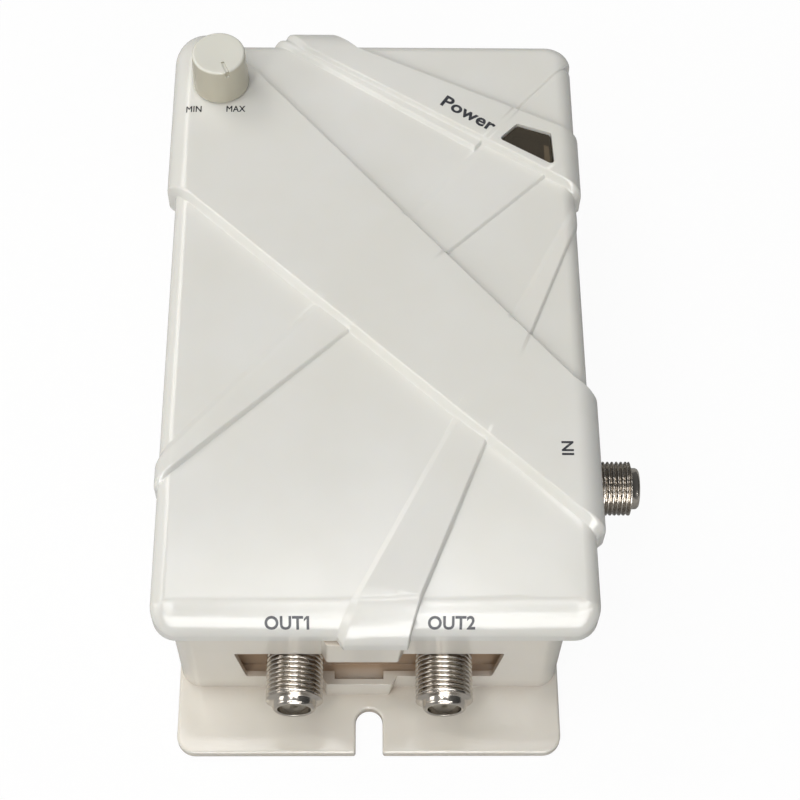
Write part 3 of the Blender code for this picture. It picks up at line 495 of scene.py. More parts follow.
def rectangle_path(half_x, half_y, radius, steps=8, mid=(0.0, 0.0)):
    x, y = mid
    signs = ((1, -1), (1, 1), (-1, 1), (-1, -1))
    return Path([(x + a * half_x, y + b * half_y, radius) for a, b in signs], steps)


def plain_block(low, high):
    (x0, y0, z0), (x1, y1, z1) = low, high
    bm = bmesh.new()
    loft(bm, [[(x0, y0, z), (x1, y0, z), (x1, y1, z), (x0, y1, z)] for z in (z0, z1)])
    return bm


def revolve(profile, steps):
    """Turn a (radius, height) profile about Z. It starts and ends on the axis."""
    bm = bmesh.new()
    rings = []
    for radius, height in profile:
        if radius < 1e-9:
            rings.append([bm.verts.new((0, 0, height))])
            continue
        angles = [2 * math.pi * i / steps for i in range(steps)]
        rings.append([bm.verts.new((radius * math.cos(a), radius * math.sin(a), height)) for a in angles])
    for first, second in zip(rings, rings[1:]):
        for i in range(steps):
            j = (i + 1) % steps
            corners = [first[i % len(first)], first[j % len(first)]]
            corners += [second[j % len(second)], second[i % len(second)]]
            bm.faces.new(list(dict.fromkeys(corners)))
    return bm


def placed(bm, offset, turn=None):
    matrix = Matrix.Translation(offset)
    if turn is not None:
        matrix = matrix @ turn.to_4x4()
    bmesh.ops.transform(bm, matrix=matrix, verts=bm.verts)
    return bm


def cylinder(radius, low, high, steps=32):
    return revolve([(0, low), (radius, low), (radius, high), (0, high)], steps)


# ---------------------------------------------------------------- cover


class EdgeLine:
    """A straight band edge in plan, given in millimetres. Distance counts towards the point called inside."""

    def __init__(self, first, second, inside, width):
        self.first = Vector(first) * MM
        self.second = Vector(second) * MM
        along = (self.second - self.first).normalized()
        self.normal = Vector((-along.y, along.x))
        if (Vector(inside) * MM - self.first).dot(self.normal) < 0:
            self.normal.negate()
        self.width = width

    def distance(self, x, y):
        return (Vector((x, y)) - self.first).dot(self.normal)

    def share(self, x, y):
        """0 outside the band and 1 on it, with a hollow foot and a rounded top between."""
        distance = self.distance(x, y)
        rise = soft_ramp(distance, EDGE_FOOT_ROUND) - soft_ramp(distance - self.width, EDGE_TOP_ROUND)
        return min(max(rise / self.width, 0.0), 1.0)

    def cuts(self):
        """Distances at which the skin is cut, so that the rounded profile has faces to bend."""
        foot, top = EDGE_FOOT_ROUND, EDGE_TOP_ROUND
        places = [-foot, 0.0, foot] + [self.width + top * k for k in (-1.0, -0.5, 0.0, 0.5, 1.0)]
        return [self.first + self.normal * place for place in sorted(places)]


def soft_ramp(distance, bend):
    """max(distance, 0) with its corner rounded over plus and minus bend."""
    if distance <= -bend:
        return 0.0
    if distance >= bend:
        return distance
    return (distance + bend) ** 2 / (4 * bend)


class Band:
    """A raised strip between two straight edges. Its top slopes from the rise at the upper edge to that at
    the lower edge, and the lower edge grows from its first end to its second. On the skirt it stands out
    by one wall rise on the long sides and another on the two ends. It stops at an end line, if it has one."""

    def __init__(self, upper, lower, wall_rise, upper_rise, first_rise, second_rise, end=None):
        self.upper = upper
        self.lower = lower
        self.side_rise, self.end_rise = wall_rise
        self.upper_rise = upper_rise
        self.first_rise = first_rise
        self.second_rise = second_rise
        self.edges = [upper, lower] + ([end] if end else [])

    def share(self, x, y):
        return min(edge.share(x, y) for edge in self.edges)

    def top_rise(self, x, y):
        from_upper = max(self.upper.distance(x, y), 0.0)
        from_lower = max(self.lower.distance(x, y), 0.0)
        across = from_upper / max(from_upper + from_lower, 0.001 * MM)
        run = self.lower.second - self.lower.first
        along = (Vector((x, y)) - self.lower.first).dot(run) / run.length_squared
        lower_rise = self.first_rise + (self.second_rise - self.first_rise) * min(max(along, 0.0), 1.0) ** 2
        return self.upper_rise + (lower_rise - self.upper_rise) * across

    def cuts(self):
        """Points and directions of the upright planes that give the skin edges where the band bends."""
        planes = [(point, edge.normal) for edge in self.edges for point in edge.cuts()]
        if self.upper_rise == self.first_rise == self.second_rise:
            return planes
        for across in (0.2, 0.4, 0.6, 0.8):
            first = self.upper.first.lerp(self.lower.first, across)
            second = self.upper.second.lerp(self.lower.second, across)
            planes.append((first, (second - first).orthogonal()))
        run = self.lower.second - self.lower.first
        planes += [(self.lower.first + run * step / 12, run) for step in range(1, 12)]
        return planes


def band_table():
    """Every raised band with its edges and rises."""
    wide_up = EdgeLine((-20.0, 50.9), (35.8, -14.5), (0, 0), CRISP_EDGE)
    wide_low = EdgeLine((-36.2, 26.4), (37.6, -42.6), (0, 0), SOFT_EDGE)
    lamp_up = EdgeLine((-1.7, 57.5), (36.9, 38.7), (29, 36), CRISP_EDGE)
    lamp_low = EdgeLine((-18.2, 61.0), (36.9, 25.6), (29, 36), STEEP_EDGE)
    lamp_middle = EdgeLine((-10.0, 59.2), (36.9, 32.1), (0, 0), CRISP_EDGE)
    lamp_beyond = EdgeLine((-10.0, 59.2), (36.9, 32.1), (30, 50), CRISP_EDGE)
    under_low = EdgeLine((-17.0, 59.1), (19.0, 34.6), (29, 36), STEEP_EDGE)
    under_end = EdgeLine((35.5, 53.5), (-34.0, -26.3), (-20, 50), CRISP_EDGE)
    cross_up = EdgeLine((35.5, 53.5), (-34.0, -26.3), (0, 0), SOFT_EDGE)
    cross_low = EdgeLine((30.9, 27.9), (-34.7, -33.0), (0, 10), FIRM_EDGE)
    front_up = EdgeLine((33.3, 16.6), (-5.1, -57.9), (10, -50), SOFT_EDGE)
    front_low = EdgeLine((35.6, 14.5), (6.0, -59.8), (0, -60), FIRM_EDGE)
    return [
        Band(wide_up, wide_low, (1.6 * MM, 2.4 * MM), HIGH_BAND, HIGH_BAND, HIGH_BAND),
        Band(lamp_up, lamp_low, (1.2 * MM, 2.8 * MM), HIGH_BAND, HIGH_BAND, HIGH_BAND),
        Band(under_end, under_low, (0.8 * MM, 1.6 * MM), LOW_BAND, LOW_BAND, LOW_BAND, lamp_middle),
        Band(under_end, lamp_beyond, (0.7 * MM, 0.0), FAINT_BAND, FAINT_BAND, FAINT_BAND),
        Band(cross_up, cross_low, (0.6 * MM, 1.3 * MM), FAINT_BAND, 0.5 * MM, 1.3 * MM),
        Band(front_up, front_low, (0.2 * MM, 1.6 * MM), FAINT_BAND, 0.6 * MM, 1.1 * MM),
    ]


def band_rise(bands, x, y):
    """Rises on the top, the long sides and the two ends at a plan position: the highest band there wins."""
    top = side = end = 0.0
    for band in bands:
        share = band.share(x, y)
        top = max(top, band.top_rise(x, y) * share)
        side = max(side, band.side_rise * share)
        end = max(end, band.end_rise * share)
    return top, side, end


def edge_round(point, out, inset, lean):
    """Point and facing of the rounded top edge. The front edge is larger and flatter than the others."""
    front = max(0.0, -out.y) ** 1.5
    tall = COVER_SIDE_ROUND + (COVER_FRONT_ROUND - COVER_SIDE_ROUND) * front
    deep = COVER_FRONT_ROUND if out.y < 0 else COVER_SIDE_ROUND
    wide = Vector((out.x * COVER_SIDE_ROUND, out.y * deep))
    power = 2.0 - (2.0 - FRONT_FLATNESS) * front
    sideways, upwards = max(math.cos(lean), 0.0), math.sin(lean)
    start = at(point - wide, COVER_TOP - tall)
    reach = at(wide - out * inset) * sideways ** (2 / power) + UP * (tall - inset) * upwards ** (2 / power)
    facing = at(out) * sideways ** (2 - 2 / power) + UP * upwards ** (2 - 2 / power)
    return start + reach, facing.normalized()


def cover_rings(inset, corner_steps, round_steps):
    """Rings of a cover skin, from the rim up over the rounded edge, with the direction each point faces."""
    middle = (COVER_MID_X, (COVER_FRONT_Y + COVER_REAR_Y) / 2)
    half_y = (COVER_REAR_Y - COVER_FRONT_Y) / 2
    outline = rectangle_path(COVER_HALF_X, half_y, COVER_CORNER, corner_steps, middle).points
    soft = 0.25 * MM if inset == 0.0 else 0.0
    rings = [[(at(p - out * (inset + soft), COVER_RIM), at(out)) for p, out in outline]]
    if soft:
        rings.append([(at(p - out * soft * 0.3, COVER_RIM + soft * 0.3), at(out)) for p, out in outline])
        rings.append([(at(p, COVER_RIM + soft), at(out)) for p, out in outline])
    for step in range(round_steps + 1):
        lean = math.pi / 2 * step / round_steps
        rings.append([edge_round(point, out, inset, lean) for point, out in outline])
    return rings


def cover_shell():
    """Outer skin with the raised bands, inner skin and rim as one closed body."""
    corner_steps = 10
    outer = cover_rings(0.0, corner_steps, 10)
    inner = cover_rings(COVER_WALL, corner_steps, 3)
    bm = bmesh.new()
    facing = bm.verts.layers.float_vector.new("facing")
    outside = bm.faces.layers.int.new("outside")
    rings = [[p for p, out in ring] for ring in reversed(inner)] + [[p for p, out in ring] for ring in outer]
    faces = loft(bm, rings)
    for band in faces[len(inner):]:
        for face in band:
            face[outside] = 1
    bm.verts.ensure_lookup_table()
    first_outer = len(inner) * len(inner[0])
    for number, (point, out) in enumerate(entry for ring in outer for entry in ring):
        bm.verts[first_outer + number][facing] = out
    bands = band_table()
    for band in bands:
        for point, normal in band.cuts():
            skin = [f for f in bm.faces if f[outside]]
            edges = list({edge for face in skin for edge in face.edges})
            corners = list({vert for face in skin for vert in face.verts})
            cut_at = {"plane_co": at(point), "plane_no": at(normal)}
            bmesh.ops.bisect_plane(bm, geom=skin + edges + corners, dist=1e-6, **cut_at)
    for vert in bm.verts:
        out = vert[facing]
        if out.length < 0.1:
            continue
        top, side, end = band_rise(bands, vert.co.x, vert.co.y)
        out = out.normalized()
        vert.co += Vector((out.x * side, out.y * end, out.z * top))
    bmesh.ops.remove_doubles(bm, verts=bm.verts, dist=0.008 * MM)
    bmesh.ops.triangulate(bm, faces=bm.faces)
    return bm


def lens_path(spread, steps=8):
    """Lens outline with rounded corners, grown outwards by spread."""
    corners = [(27.0, 39.5), (23.8, 36.3), (33.3, 30.5), (33.0, 37.4)]
    path = Path([(x * MM, y * MM, 0.5 * MM) for x, y in corners], steps)
    return [point + out * spread for point, out in path.points]


def prism(outline, low, high):
    bm = bmesh.new()
    loft(bm, [[at(p, z) for p in outline] for z in (low, high)])
    return bm


def top_cover(look, screw_places):
    cover = mesh_object("cover_shell", cover_shell(), look)
    ceiling = COVER_TOP - COVER_WALL
    soft = 0.4 * MM
    into = ceiling + 0.5 * MM
    post = [(0, POST_FOOT), (POST_R - soft, POST_FOOT), (POST_R, POST_FOOT + soft), (POST_R, into), (0, into)]
    for xy in screw_places:
        join(cover, placed(revolve(post, 24), at(xy)), look)
        screw_hole = cylinder(POST_HOLE_R, POST_FOOT - MM, POST_HOLE_TOP, 16)
        cut(cover, placed(screw_hole, at(xy)), look)
    shaft_hole = cylinder(SHAFT_HOLE_R, ceiling - MM, BAND_TOP + MM)
    cut(cover, placed(shaft_hole, at(KNOB_MIDDLE)), look)
    cut(cover, prism(lens_path(0.15 * MM), ceiling - MM, BAND_TOP + MM), look)
    smooth_normals(cover, 50.0)
    ride(cover, "case", "ivory_plastic", "top_cover")
    return cover


# ---------------------------------------------------------------- printed labels


def add_flag(bm):
    """Give the last letter, a plain upright bar, the slanting flag of a figure one."""
    right = max(v.co.x for v in bm.verts)
    high = max(v.co.y for v in bm.verts)
    low = min(v.co.y for v in bm.verts)
    tall = high - low
    left = min(v.co.x for v in bm.verts if v.co.x > right - 0.25 * tall)
    corners = ((left, high), (left - 0.2 * tall, high - 0.22 * tall))
    corners += ((left - 0.2 * tall, high - 0.4 * tall), (left, high - 0.2 * tall))
    bm.faces.new([bm.verts.new((x, y, 0.0)) for x, y in reversed(corners)])


def label_mesh(text, height, weight):
    """Flat outline of a word, one cap height tall, centred on the origin.

    A negative weight thickens the strokes with a shifted copy, for letters that break when they are grown."""
    curve = bpy.data.curves.new("label", "FONT")
    curve.body = text
    curve.align_x = "CENTER"
    curve.align_y = "CENTER"
    curve.offset = max(weight, 0.0)
    curve.space_character = 1.04
    curve.resolution_u = 4
    made = bpy.data.objects.new("label", curve)
    bpy.context.scene.collection.objects.link(made)
    bpy.context.view_layer.update()
    graph = bpy.context.evaluated_depsgraph_get()
    mesh = bpy.data.meshes.new_from_object(made.evaluated_get(graph))
    bpy.data.objects.remove(made)
    bm = bmesh.new()
    bm.from_mesh(mesh)
    bpy.data.meshes.remove(mesh)
    if text.endswith("1"):
        add_flag(bm)
    if weight < 0:
        copied = bmesh.ops.duplicate(bm, geom=bm.verts[:] + bm.edges[:] + bm.faces[:])["geom"]
        shifted = [g for g in copied if isinstance(g, bmesh.types.BMVert)]
        bmesh.ops.translate(bm, verts=shifted, vec=(-weight, 0.0, 0.0))
    low_y = min(v.co.y for v in bm.verts)
    high_y = max(v.co.y for v in bm.verts)
    middle_x = (min(v.co.x for v in bm.verts) + max(v.co.x for v in bm.verts)) / 2
    scale = height / (high_y - low_y)
    for vert in bm.verts:
        vert.co = Vector(((vert.co.x - middle_x) * scale, (vert.co.y - (low_y + high_y) / 2) * scale, 0.0))
    return bm


def label(name, text, height, stretch, weight, skin, place, look):
    """Lay a word on the cover. place turns a flat position into a start point and a way to drop from it."""
    bm = label_mesh(text, height, weight)
    reach = max(v.co.x for v in bm.verts)
    for step in range(-6, 7):
        for co, normal in (((step * reach / 6, 0, 0), (1, 0, 0)), ((0, step * height / 12, 0), (0, 1, 0))):
            geometry = bm.verts[:] + bm.edges[:] + bm.faces[:]
            bmesh.ops.bisect_plane(bm, geom=geometry, dist=1e-7, plane_co=co, plane_no=normal)
    bmesh.ops.triangulate(bm, faces=bm.faces)
    bottom = list(bm.faces)
    bmesh.ops.recalc_face_normals(bm, faces=bm.faces)
    lows = {}
    for vert in bm.verts:
        start, drop = place(vert.co.x * stretch, vert.co.y)
        lows[vert] = skin.ray_cast(start, drop)[:2]
    thick = 0.03 * MM
    extruded = bmesh.ops.extrude_face_region(bm, geom=bottom)
    tops = [g for g in extruded["geom"] if isinstance(g, bmesh.types.BMVert)]
    flat = {}
    for vert, (hit, normal) in lows.items():
        flat[(round(vert.co.x, 9), round(vert.co.y, 9))] = (hit, normal)
    for vert in tops:
        hit, normal = flat[(round(vert.co.x, 9), round(vert.co.y, 9))]
        vert.co = hit + normal * thick
    for vert, (hit, normal) in lows.items():
        if vert.is_valid:
            vert.co = hit - normal * 0.01 * MM
    made = mesh_object(name, bm, look)
    ride(made, "case", "black_plastic")


def top_place(centre, angle):
    """Words on the flat of the cover, read along the given angle."""
    along = Vector((math.cos(angle), math.sin(angle)))
    across = Vector((-along.y, along.x))

    def place(x, y):
        spot = Vector(centre) * MM + along * x + across * y
        return at(spot, BAND_TOP + 10 * MM), -UP

    return place


def front_place(centre_x, lean):
    """Words on the rounded front edge: up the word is up the round."""
    centre_y = COVER_FRONT_Y + COVER_FRONT_ROUND
    centre_z = COVER_TOP - COVER_FRONT_ROUND

    def place(x, y):
        angle = lean + y / COVER_FRONT_ROUND
        out = Vector((0, -math.cos(angle), math.sin(angle)))
        return Vector((centre_x * MM + x, centre_y, centre_z)) + out * 15 * MM, -out

    return place


def labels(cover, look):
    graph = bpy.context.evaluated_depsgraph_get()
    skin = BVHTree.FromObject(cover, graph)
    upwards = math.radians(36.0)
    along_lens = math.radians(-33.8)
    words = (
        ("MIN", 1.35 * MM, 0.82, -0.035, top_place((-32.4, 42.6), 0.0)),
        ("MAX", 1.35 * MM, 0.82, -0.035, top_place((-24.7, 42.7), 0.0)),
        ("IN", 2.0 * MM, 1.0, 0.022, top_place((32.8, -27.5), math.pi / 2)),
        ("Power", 2.65 * MM, 1.15, 0.026, top_place((18.2, 41.9), along_lens)),
        ("OUT1", 2.75 * MM, 0.78, 0.026, front_place(-13.2, upwards)),
        ("OUT2", 2.75 * MM, 0.78, 0.026, front_place(13.1, upwards)),
    )
    for text, height, stretch, weight, place in words:
        label(f"label_{text.lower()}", text, height, stretch, weight, skin, place, look)


# ---------------------------------------------------------------- wall case


def plate_path():
    """Wall plate outline with an open screw slot in each end."""
    x, y = BASE_HIGH.x, BASE_HIGH.y
    half = SLOT_WIDE / 2
    mouth = 0.5 * MM
    bottom = half * 0.999
    corners = []
    for side in (1, -1):
        corners += [(side * x, -side * y, PLATE_CORNER), (side * x, side * y, PLATE_CORNER)]
        corners += [(side * half, side * y, mouth), (side * half, side * SLOT_BOTTOM_Y, bottom)]
        corners += [(-side * half, side * SLOT_BOTTOM_Y, bottom), (-side * half, side * y, mouth)]
    return Path(corners, 8)


def strip_pad(low, high):
    """Raised strip on the front wall; it leans slightly to the left as it goes down."""
    rings = []
    for z in (low, high):
        share = (z - PLATE_THICK) / (CASE_TOP - PLATE_THICK)
        left = STRIP_LEFT[1] + (STRIP_LEFT[0] - STRIP_LEFT[1]) * share
        right = STRIP_RIGHT[1] + (STRIP_RIGHT[0] - STRIP_RIGHT[1]) * share
        face_y = CASE_FRONT_Y - STRIP_RISE
        back_y = CASE_FRONT_Y + 0.5 * MM
        corners = [(left - 1.2 * MM, back_y, 0.1 * MM), (left, face_y, 0.5 * MM)]
        corners += [(right, face_y, 0.5 * MM), (right + 1.2 * MM, back_y, 0.1 * MM)]
        rings.append([at(p, z) for p in Path(corners, 4).grown(0.0)])
    bm = bmesh.new()
    loft(bm, rings)
    return bm


def output_window():
    """Opening across the front wall, narrower at its sill."""
    corners = [(-WINDOW_HALF_LOW, WINDOW_LOW, 0.6 * MM), (WINDOW_HALF_LOW, WINDOW_LOW, 0.6 * MM)]
    corners += [(WINDOW_HALF_HIGH, WINDOW_HIGH, 0.3 * MM), (-WINDOW_HALF_HIGH, WINDOW_HIGH, 0.3 * MM)]
    outline = Path(corners, 4).grown(0.0)
    back = CASE_FRONT_Y + CASE_WALL + 0.3 * MM
    front = CASE_FRONT_Y - 3 * MM
    bm = bmesh.new()
    loft(bm, [[Vector((x, y, z)) for x, z in outline] for y in (back, front)])
    return bm


def window_pockets():
    """Hollows behind the front wall that thin it round the window and follow the raised strip."""
    back = BULKHEAD_FRONT_Y - 0.3 * MM
    wall_back = CASE_FRONT_Y + WINDOW_WALL
    low_z, high_z = SHELF_TOP, WINDOW_HIGH + 2 * MM
    half = WINDOW_HALF_HIGH + MM
    strip = (STRIP_LEFT[0] + WINDOW_WALL, STRIP_RIGHT[1] - WINDOW_WALL)
    return (
        plain_block((-half, wall_back, low_z), (half, back, high_z)),
        plain_block((strip[0], wall_back - STRIP_RISE, low_z), (strip[1], back, high_z)),
    )


def bulkhead():
    """Upright wall behind the window that the output connectors pass through."""
    low = (-BULKHEAD_HALF_X, BULKHEAD_FRONT_Y, MM)
    return plain_block(low, (BULKHEAD_HALF_X, BULKHEAD_BACK_Y, BULKHEAD_TOP))


def window_shelf():
    """Floor of the recess behind the window, just below its sill."""
    low = (-BULKHEAD_HALF_X, CASE_FRONT_Y + 0.5 * MM, MM)
    return plain_block(low, (BULKHEAD_HALF_X, BULKHEAD_FRONT_Y + 0.5 * MM, SHELF_TOP))


def wall_case(look, screw_places, board_screw_places, tips, jack):
    plate = soft_prism(plate_path(), 0.0, PLATE_THICK, 0.3 * MM, PLATE_EDGE)
    base = mesh_object("wall_case", plate, look)
    walls = rectangle_path(CASE_HALF_X, CASE_HALF_Y, CASE_CORNER, mid=CASE_MIDDLE)
    join(base, soft_prism(walls, 0.5 * MM, CASE_TOP, 0.0, 0.2 * MM), look)
    lip_low = (-CASE_HALF_X + 0.05 * MM, -LIP_HALF_Y, CASE_TOP - MM)
    join(base, plain_block(lip_low, (CASE_HALF_X - 0.05 * MM, LIP_HALF_Y, BASE_HIGH.z)), look)
    join(base, strip_pad(WINDOW_HIGH, CASE_TOP - 0.05 * MM), look)
    join(base, strip_pad(PLATE_THICK - 0.5 * MM, WINDOW_LOW), look)
    inner = (CASE_HALF_X - CASE_SIDE_WALL, CASE_HALF_Y - CASE_WALL)
    hollow = rectangle_path(*inner, 2.0 * MM, mid=CASE_MIDDLE)
    cut(base, prism(hollow.grown(0.0), PLATE_THICK, BASE_HIGH.z + MM), look)
    join(base, bulkhead(), look)
    join(base, window_shelf(), look)
    sink = [(0, -MM), (HEAD_HOLE_R, -MM), (HEAD_HOLE_R, HEAD_SEAT), (SCREW_HOLE_R, HEAD_SEAT)]
    sink += [(SCREW_HOLE_R, BOSS_TOP + 1.3 * MM), (0, BOSS_TOP + 1.3 * MM)]
    for xy in screw_places:
        join(base, placed(cylinder(BOSS_R, PLATE_THICK - MM, BOSS_TOP, 24), at(xy)), look)
        cut(base, placed(revolve(sink, 24), at(xy)), look)
    for xy in board_screw_places:
        standoff = cylinder(STANDOFF_R, PLATE_THICK - MM, STANDOFF_TOP, 24)
        join(base, placed(standoff, at(xy)), look)
        pilot = cylinder(PILOT_R, PILOT_FOOT, STANDOFF_TOP + 1.5 * MM, 16)
        cut(base, placed(pilot, at(xy)), look)
    for tool in (output_window(), *window_pockets()):
        cut(base, tool, look)
    for tip, turn in tips:
        inside = tip - turn @ (UP * PORT_HOLE_START)
        hole = cylinder(PORT_HOLE_R, -2 * MM, 9 * MM, 48)
        cut(base, placed(hole, inside, turn), look)
    low = Vector((jack[0].x - JACK_GAP, CASE_REAR_Y - 3 * MM, jack[0].z - JACK_GAP))
    high = Vector((jack[1].x + JACK_GAP, CASE_REAR_Y + MM, jack[1].z + JACK_GAP))
    cut(base, plain_block(low, high), look)
    smooth_normals(base, 40.0)
    ride(base, "case", "ivory_plastic", "base_case")


# ---------------------------------------------------------------- knob


def gain_knob(look):
    """Tapered knob with a rounded rim, a shallow dished top and a pointer groove."""
    base_r = (KNOB_HIGH.x - KNOB_LOW.x) / 2
    top_r = base_r - 0.35 * MM
    height = KNOB_HIGH.z - KNOB_LOW.z
    rim = 0.5 * MM
    bore = 1.75 * MM
    bore_deep = 5.6 * MM
    profile = [(0, bore_deep), (bore, bore_deep), (bore, 0), (base_r - 0.3 * MM, 0), (base_r, 0.3 * MM)]
    profile += [(top_r - rim + rim * c, height - rim + rim * s) for c, s in quarter(8)]
    profile += [(top_r * 0.75, height - 0.04 * MM), (top_r * 0.4, height - 0.1 * MM), (0, height - 0.12 * MM)]
    knob = mesh_object("gain_dial", revolve(profile, 96), look)
    turn = Matrix.Rotation(math.radians(22), 3, "Z")
    half = 0.3 * MM
    top_groove = plain_block((-half, -8 * MM, height - 0.45 * MM), (half, -2.2 * MM, height + MM))
    side_groove = plain_block((-half, -8 * MM, height - 1.4 * MM), (half, -top_r + 0.4 * MM, height + MM))
    for tool in (top_groove, side_groove):
        cut(knob, placed(tool, Vector(), turn), look)
    knob.location = at(KNOB_MIDDLE, KNOB_LOW.z)
    smooth_normals(knob, 35.0)
    ride(knob, "knob", "knob_plastic", "gain_knob")


# ---------------------------------------------------------------- connectors


THREAD_R = 4.7625 * MM
THREAD_DEPTH = 0.5 * MM
THREAD_PITCH = 25.4 / 32 * MM
THREAD_TURNS = 9.9
NOSE = 1.6 * MM
CONNECTOR_LENGTH = 21.4 * MM


def thread_radius(height, angle, start, end):
    """Radius of a right-hand thread with rounded crests, fading in and out at its ends."""
    phase = ((height - start) / THREAD_PITCH + angle / (2 * math.pi)) % 1.0
    tooth = abs(2 * phase - 1)
    depth = THREAD_DEPTH * min(1.0, max(0.0, 1.45 * tooth - 0.36))
    fade_in = max(0.0, (height - start) / (0.7 * THREAD_PITCH))
    fade_out = max(0.0, (end - height) / (0.5 * THREAD_PITCH))
    return THREAD_R - depth * min(1.0, fade_in, fade_out)


def connector_shell(steps=72, rows=10):
    """Threaded barrel with a stepped nose and an open bore, pointing along +Z from its rear face."""
    tip = CONNECTOR_LENGTH
    thread_end = tip - NOSE
    thread_start = thread_end - THREAD_TURNS * THREAD_PITCH
    levels = [(THREAD_R, 0.5 * MM), (THREAD_R, thread_start - 0.02 * MM)]
    count = round(THREAD_TURNS * rows)
    for row in range(count + 1):
        levels.append((None, thread_start + (thread_end - thread_start) * row / count))
    nose_r = 3.65 * MM
    lip_r = 3.35 * MM
    levels += [(THREAD_R - 0.35 * MM, thread_end + 0.1 * MM), (nose_r + 0.1 * MM, thread_end + 0.2 * MM)]
    levels += [(nose_r, thread_end + 0.3 * MM), (nose_r, tip - 0.5 * MM)]
    levels += [(nose_r - 0.12 * MM, tip - 0.25 * MM), (lip_r, tip - 0.06 * MM), (lip_r - 0.1 * MM, tip)]
    levels += [(2.95 * MM, tip), (2.8 * MM, tip - 0.12 * MM), (2.8 * MM, tip - 12 * MM)]
    rings = []
    for radius, height in levels:
        ring = []
        for i in range(steps):
            angle = 2 * math.pi * i / steps
            r = thread_radius(height, angle, thread_start, thread_end) if radius is None else radius
            ring.append(Vector((r * math.cos(angle), r * math.sin(angle), height)))
        rings.append(ring)
    bm = bmesh.new()
    loft(bm, rings)
    return bm


def connector(name, tip, turn, look):
    """Fine threaded shell with its square root block, in place of the CAD connector."""
    shell = mesh_object(f"coax_shell_{name}", connector_shell(), look)
    half = 5.0 * MM
    join(shell, plain_block((-half, -half, 0), (half, half, 4 * MM)), look)
    cut(shell, cylinder(1.3 * MM, -MM, CONNECTOR_LENGTH - 11 * MM, 24), look)
    shell.matrix_world = Matrix.Translation(tip - turn @ (UP * CONNECTOR_LENGTH)) @ turn.to_4x4()
    smooth_normals(shell, 50.0)
    ride(shell, "case", "nickel", f"connector_{name}")


# ---------------------------------------------------------------- lens and lamp


def power_lens(look):
    """Smoked window with a softened upper edge on a flange under the cover."""
    flange_high = LENS_LOW.z + 0.8 * MM
    soft = 0.3 * MM
    flange = 0.7 * MM
    levels = [(flange, LENS_LOW.z), (flange, flange_high), (0.0, flange_high + 0.001 * MM)]
    levels += [(-soft * (1 - c), LENS_HIGH.z - soft * (1 - s)) for c, s in quarter(4)]
    bm = bmesh.new()
    loft(bm, [[at(p, z) for p in lens_path(grow)] for grow, z in levels])
    lens = mesh_object("lamp_window", bm, look, 50.0)
    pocket = placed(cylinder(2.0 * MM, LENS_LOW.z - MM, LED_HIGH.z + 0.5 * MM), at(LED_MIDDLE))
    cut(lens, pocket, look)
    smooth_normals(lens, 50.0)
    ride(lens, "case", "smoked_lens", "power_lens")


def power_led(look, steel):
    """Domed lamp with its flange; the leads run down to the board."""
    radius = 1.5 * MM
    base = 26.5 * MM
    profile = [(0, base), (1.8 * MM, base), (1.8 * MM, base + MM), (radius, base + MM)]
    profile += [(radius * c, LED_HIGH.z - radius + radius * s) for c, s in quarter(8)]
    profile[-1] = (0, LED_HIGH.z)
    led = mesh_object("lamp_dome", placed(revolve(profile, 40), at(LED_MIDDLE)), look)
    smooth_normals(led, 40.0)
    ride(led, "case", "lamp_plastic", "power_led")
    for side in (-1, 1):
        centre = Vector((LED_MIDDLE.x + side * 1.27 * MM, LED_MIDDLE.y))
        path = rectangle_path(0.25 * MM, 0.25 * MM, 0.06 * MM, 3, centre)
        wire = soft_prism(path, LED_LOW.z, base - 0.02 * MM, 0.02 * MM, 0.02 * MM, 2)
        lead = mesh_object(f"lamp_lead_{side + 2}", wire, steel)
        ride(lead, "case", "tinned_sheet")


# ---------------------------------------------------------------- stage


def soft_light(name, direction, wide, tall, radiance, colour=(1.0, 1.0, 1.0), card=False):
    """A rectangular softbox seen from the object in the given direction; wide and tall are in degrees.

    A card only shows as a reflection."""
    lamp = bpy.data.lights.new(name, "AREA")
    lamp.shape = "RECTANGLE"
    lamp.size = 2 * LIGHT_DISTANCE * math.tan(math.radians(wide) / 2)
    lamp.size_y = 2 * LIGHT_DISTANCE * math.tan(math.radians(tall) / 2)
    lamp.energy = radiance * math.pi * lamp.size * lamp.size_y
    lamp.color = colour
    made = bpy.data.objects.new(name, lamp)
    bpy.context.scene.collection.objects.link(made)
    away = Vector(direction).normalized()
    made.location = Vector((0, 0, 20 * MM)) + away * LIGHT_DISTANCE
    made.rotation_mode = "QUATERNION"
    made.rotation_quaternion = away.to_track_quat("Z", "Y")
    made.visible_camera = False
    made.visible_diffuse = not card
    made.visible_transmission = not card


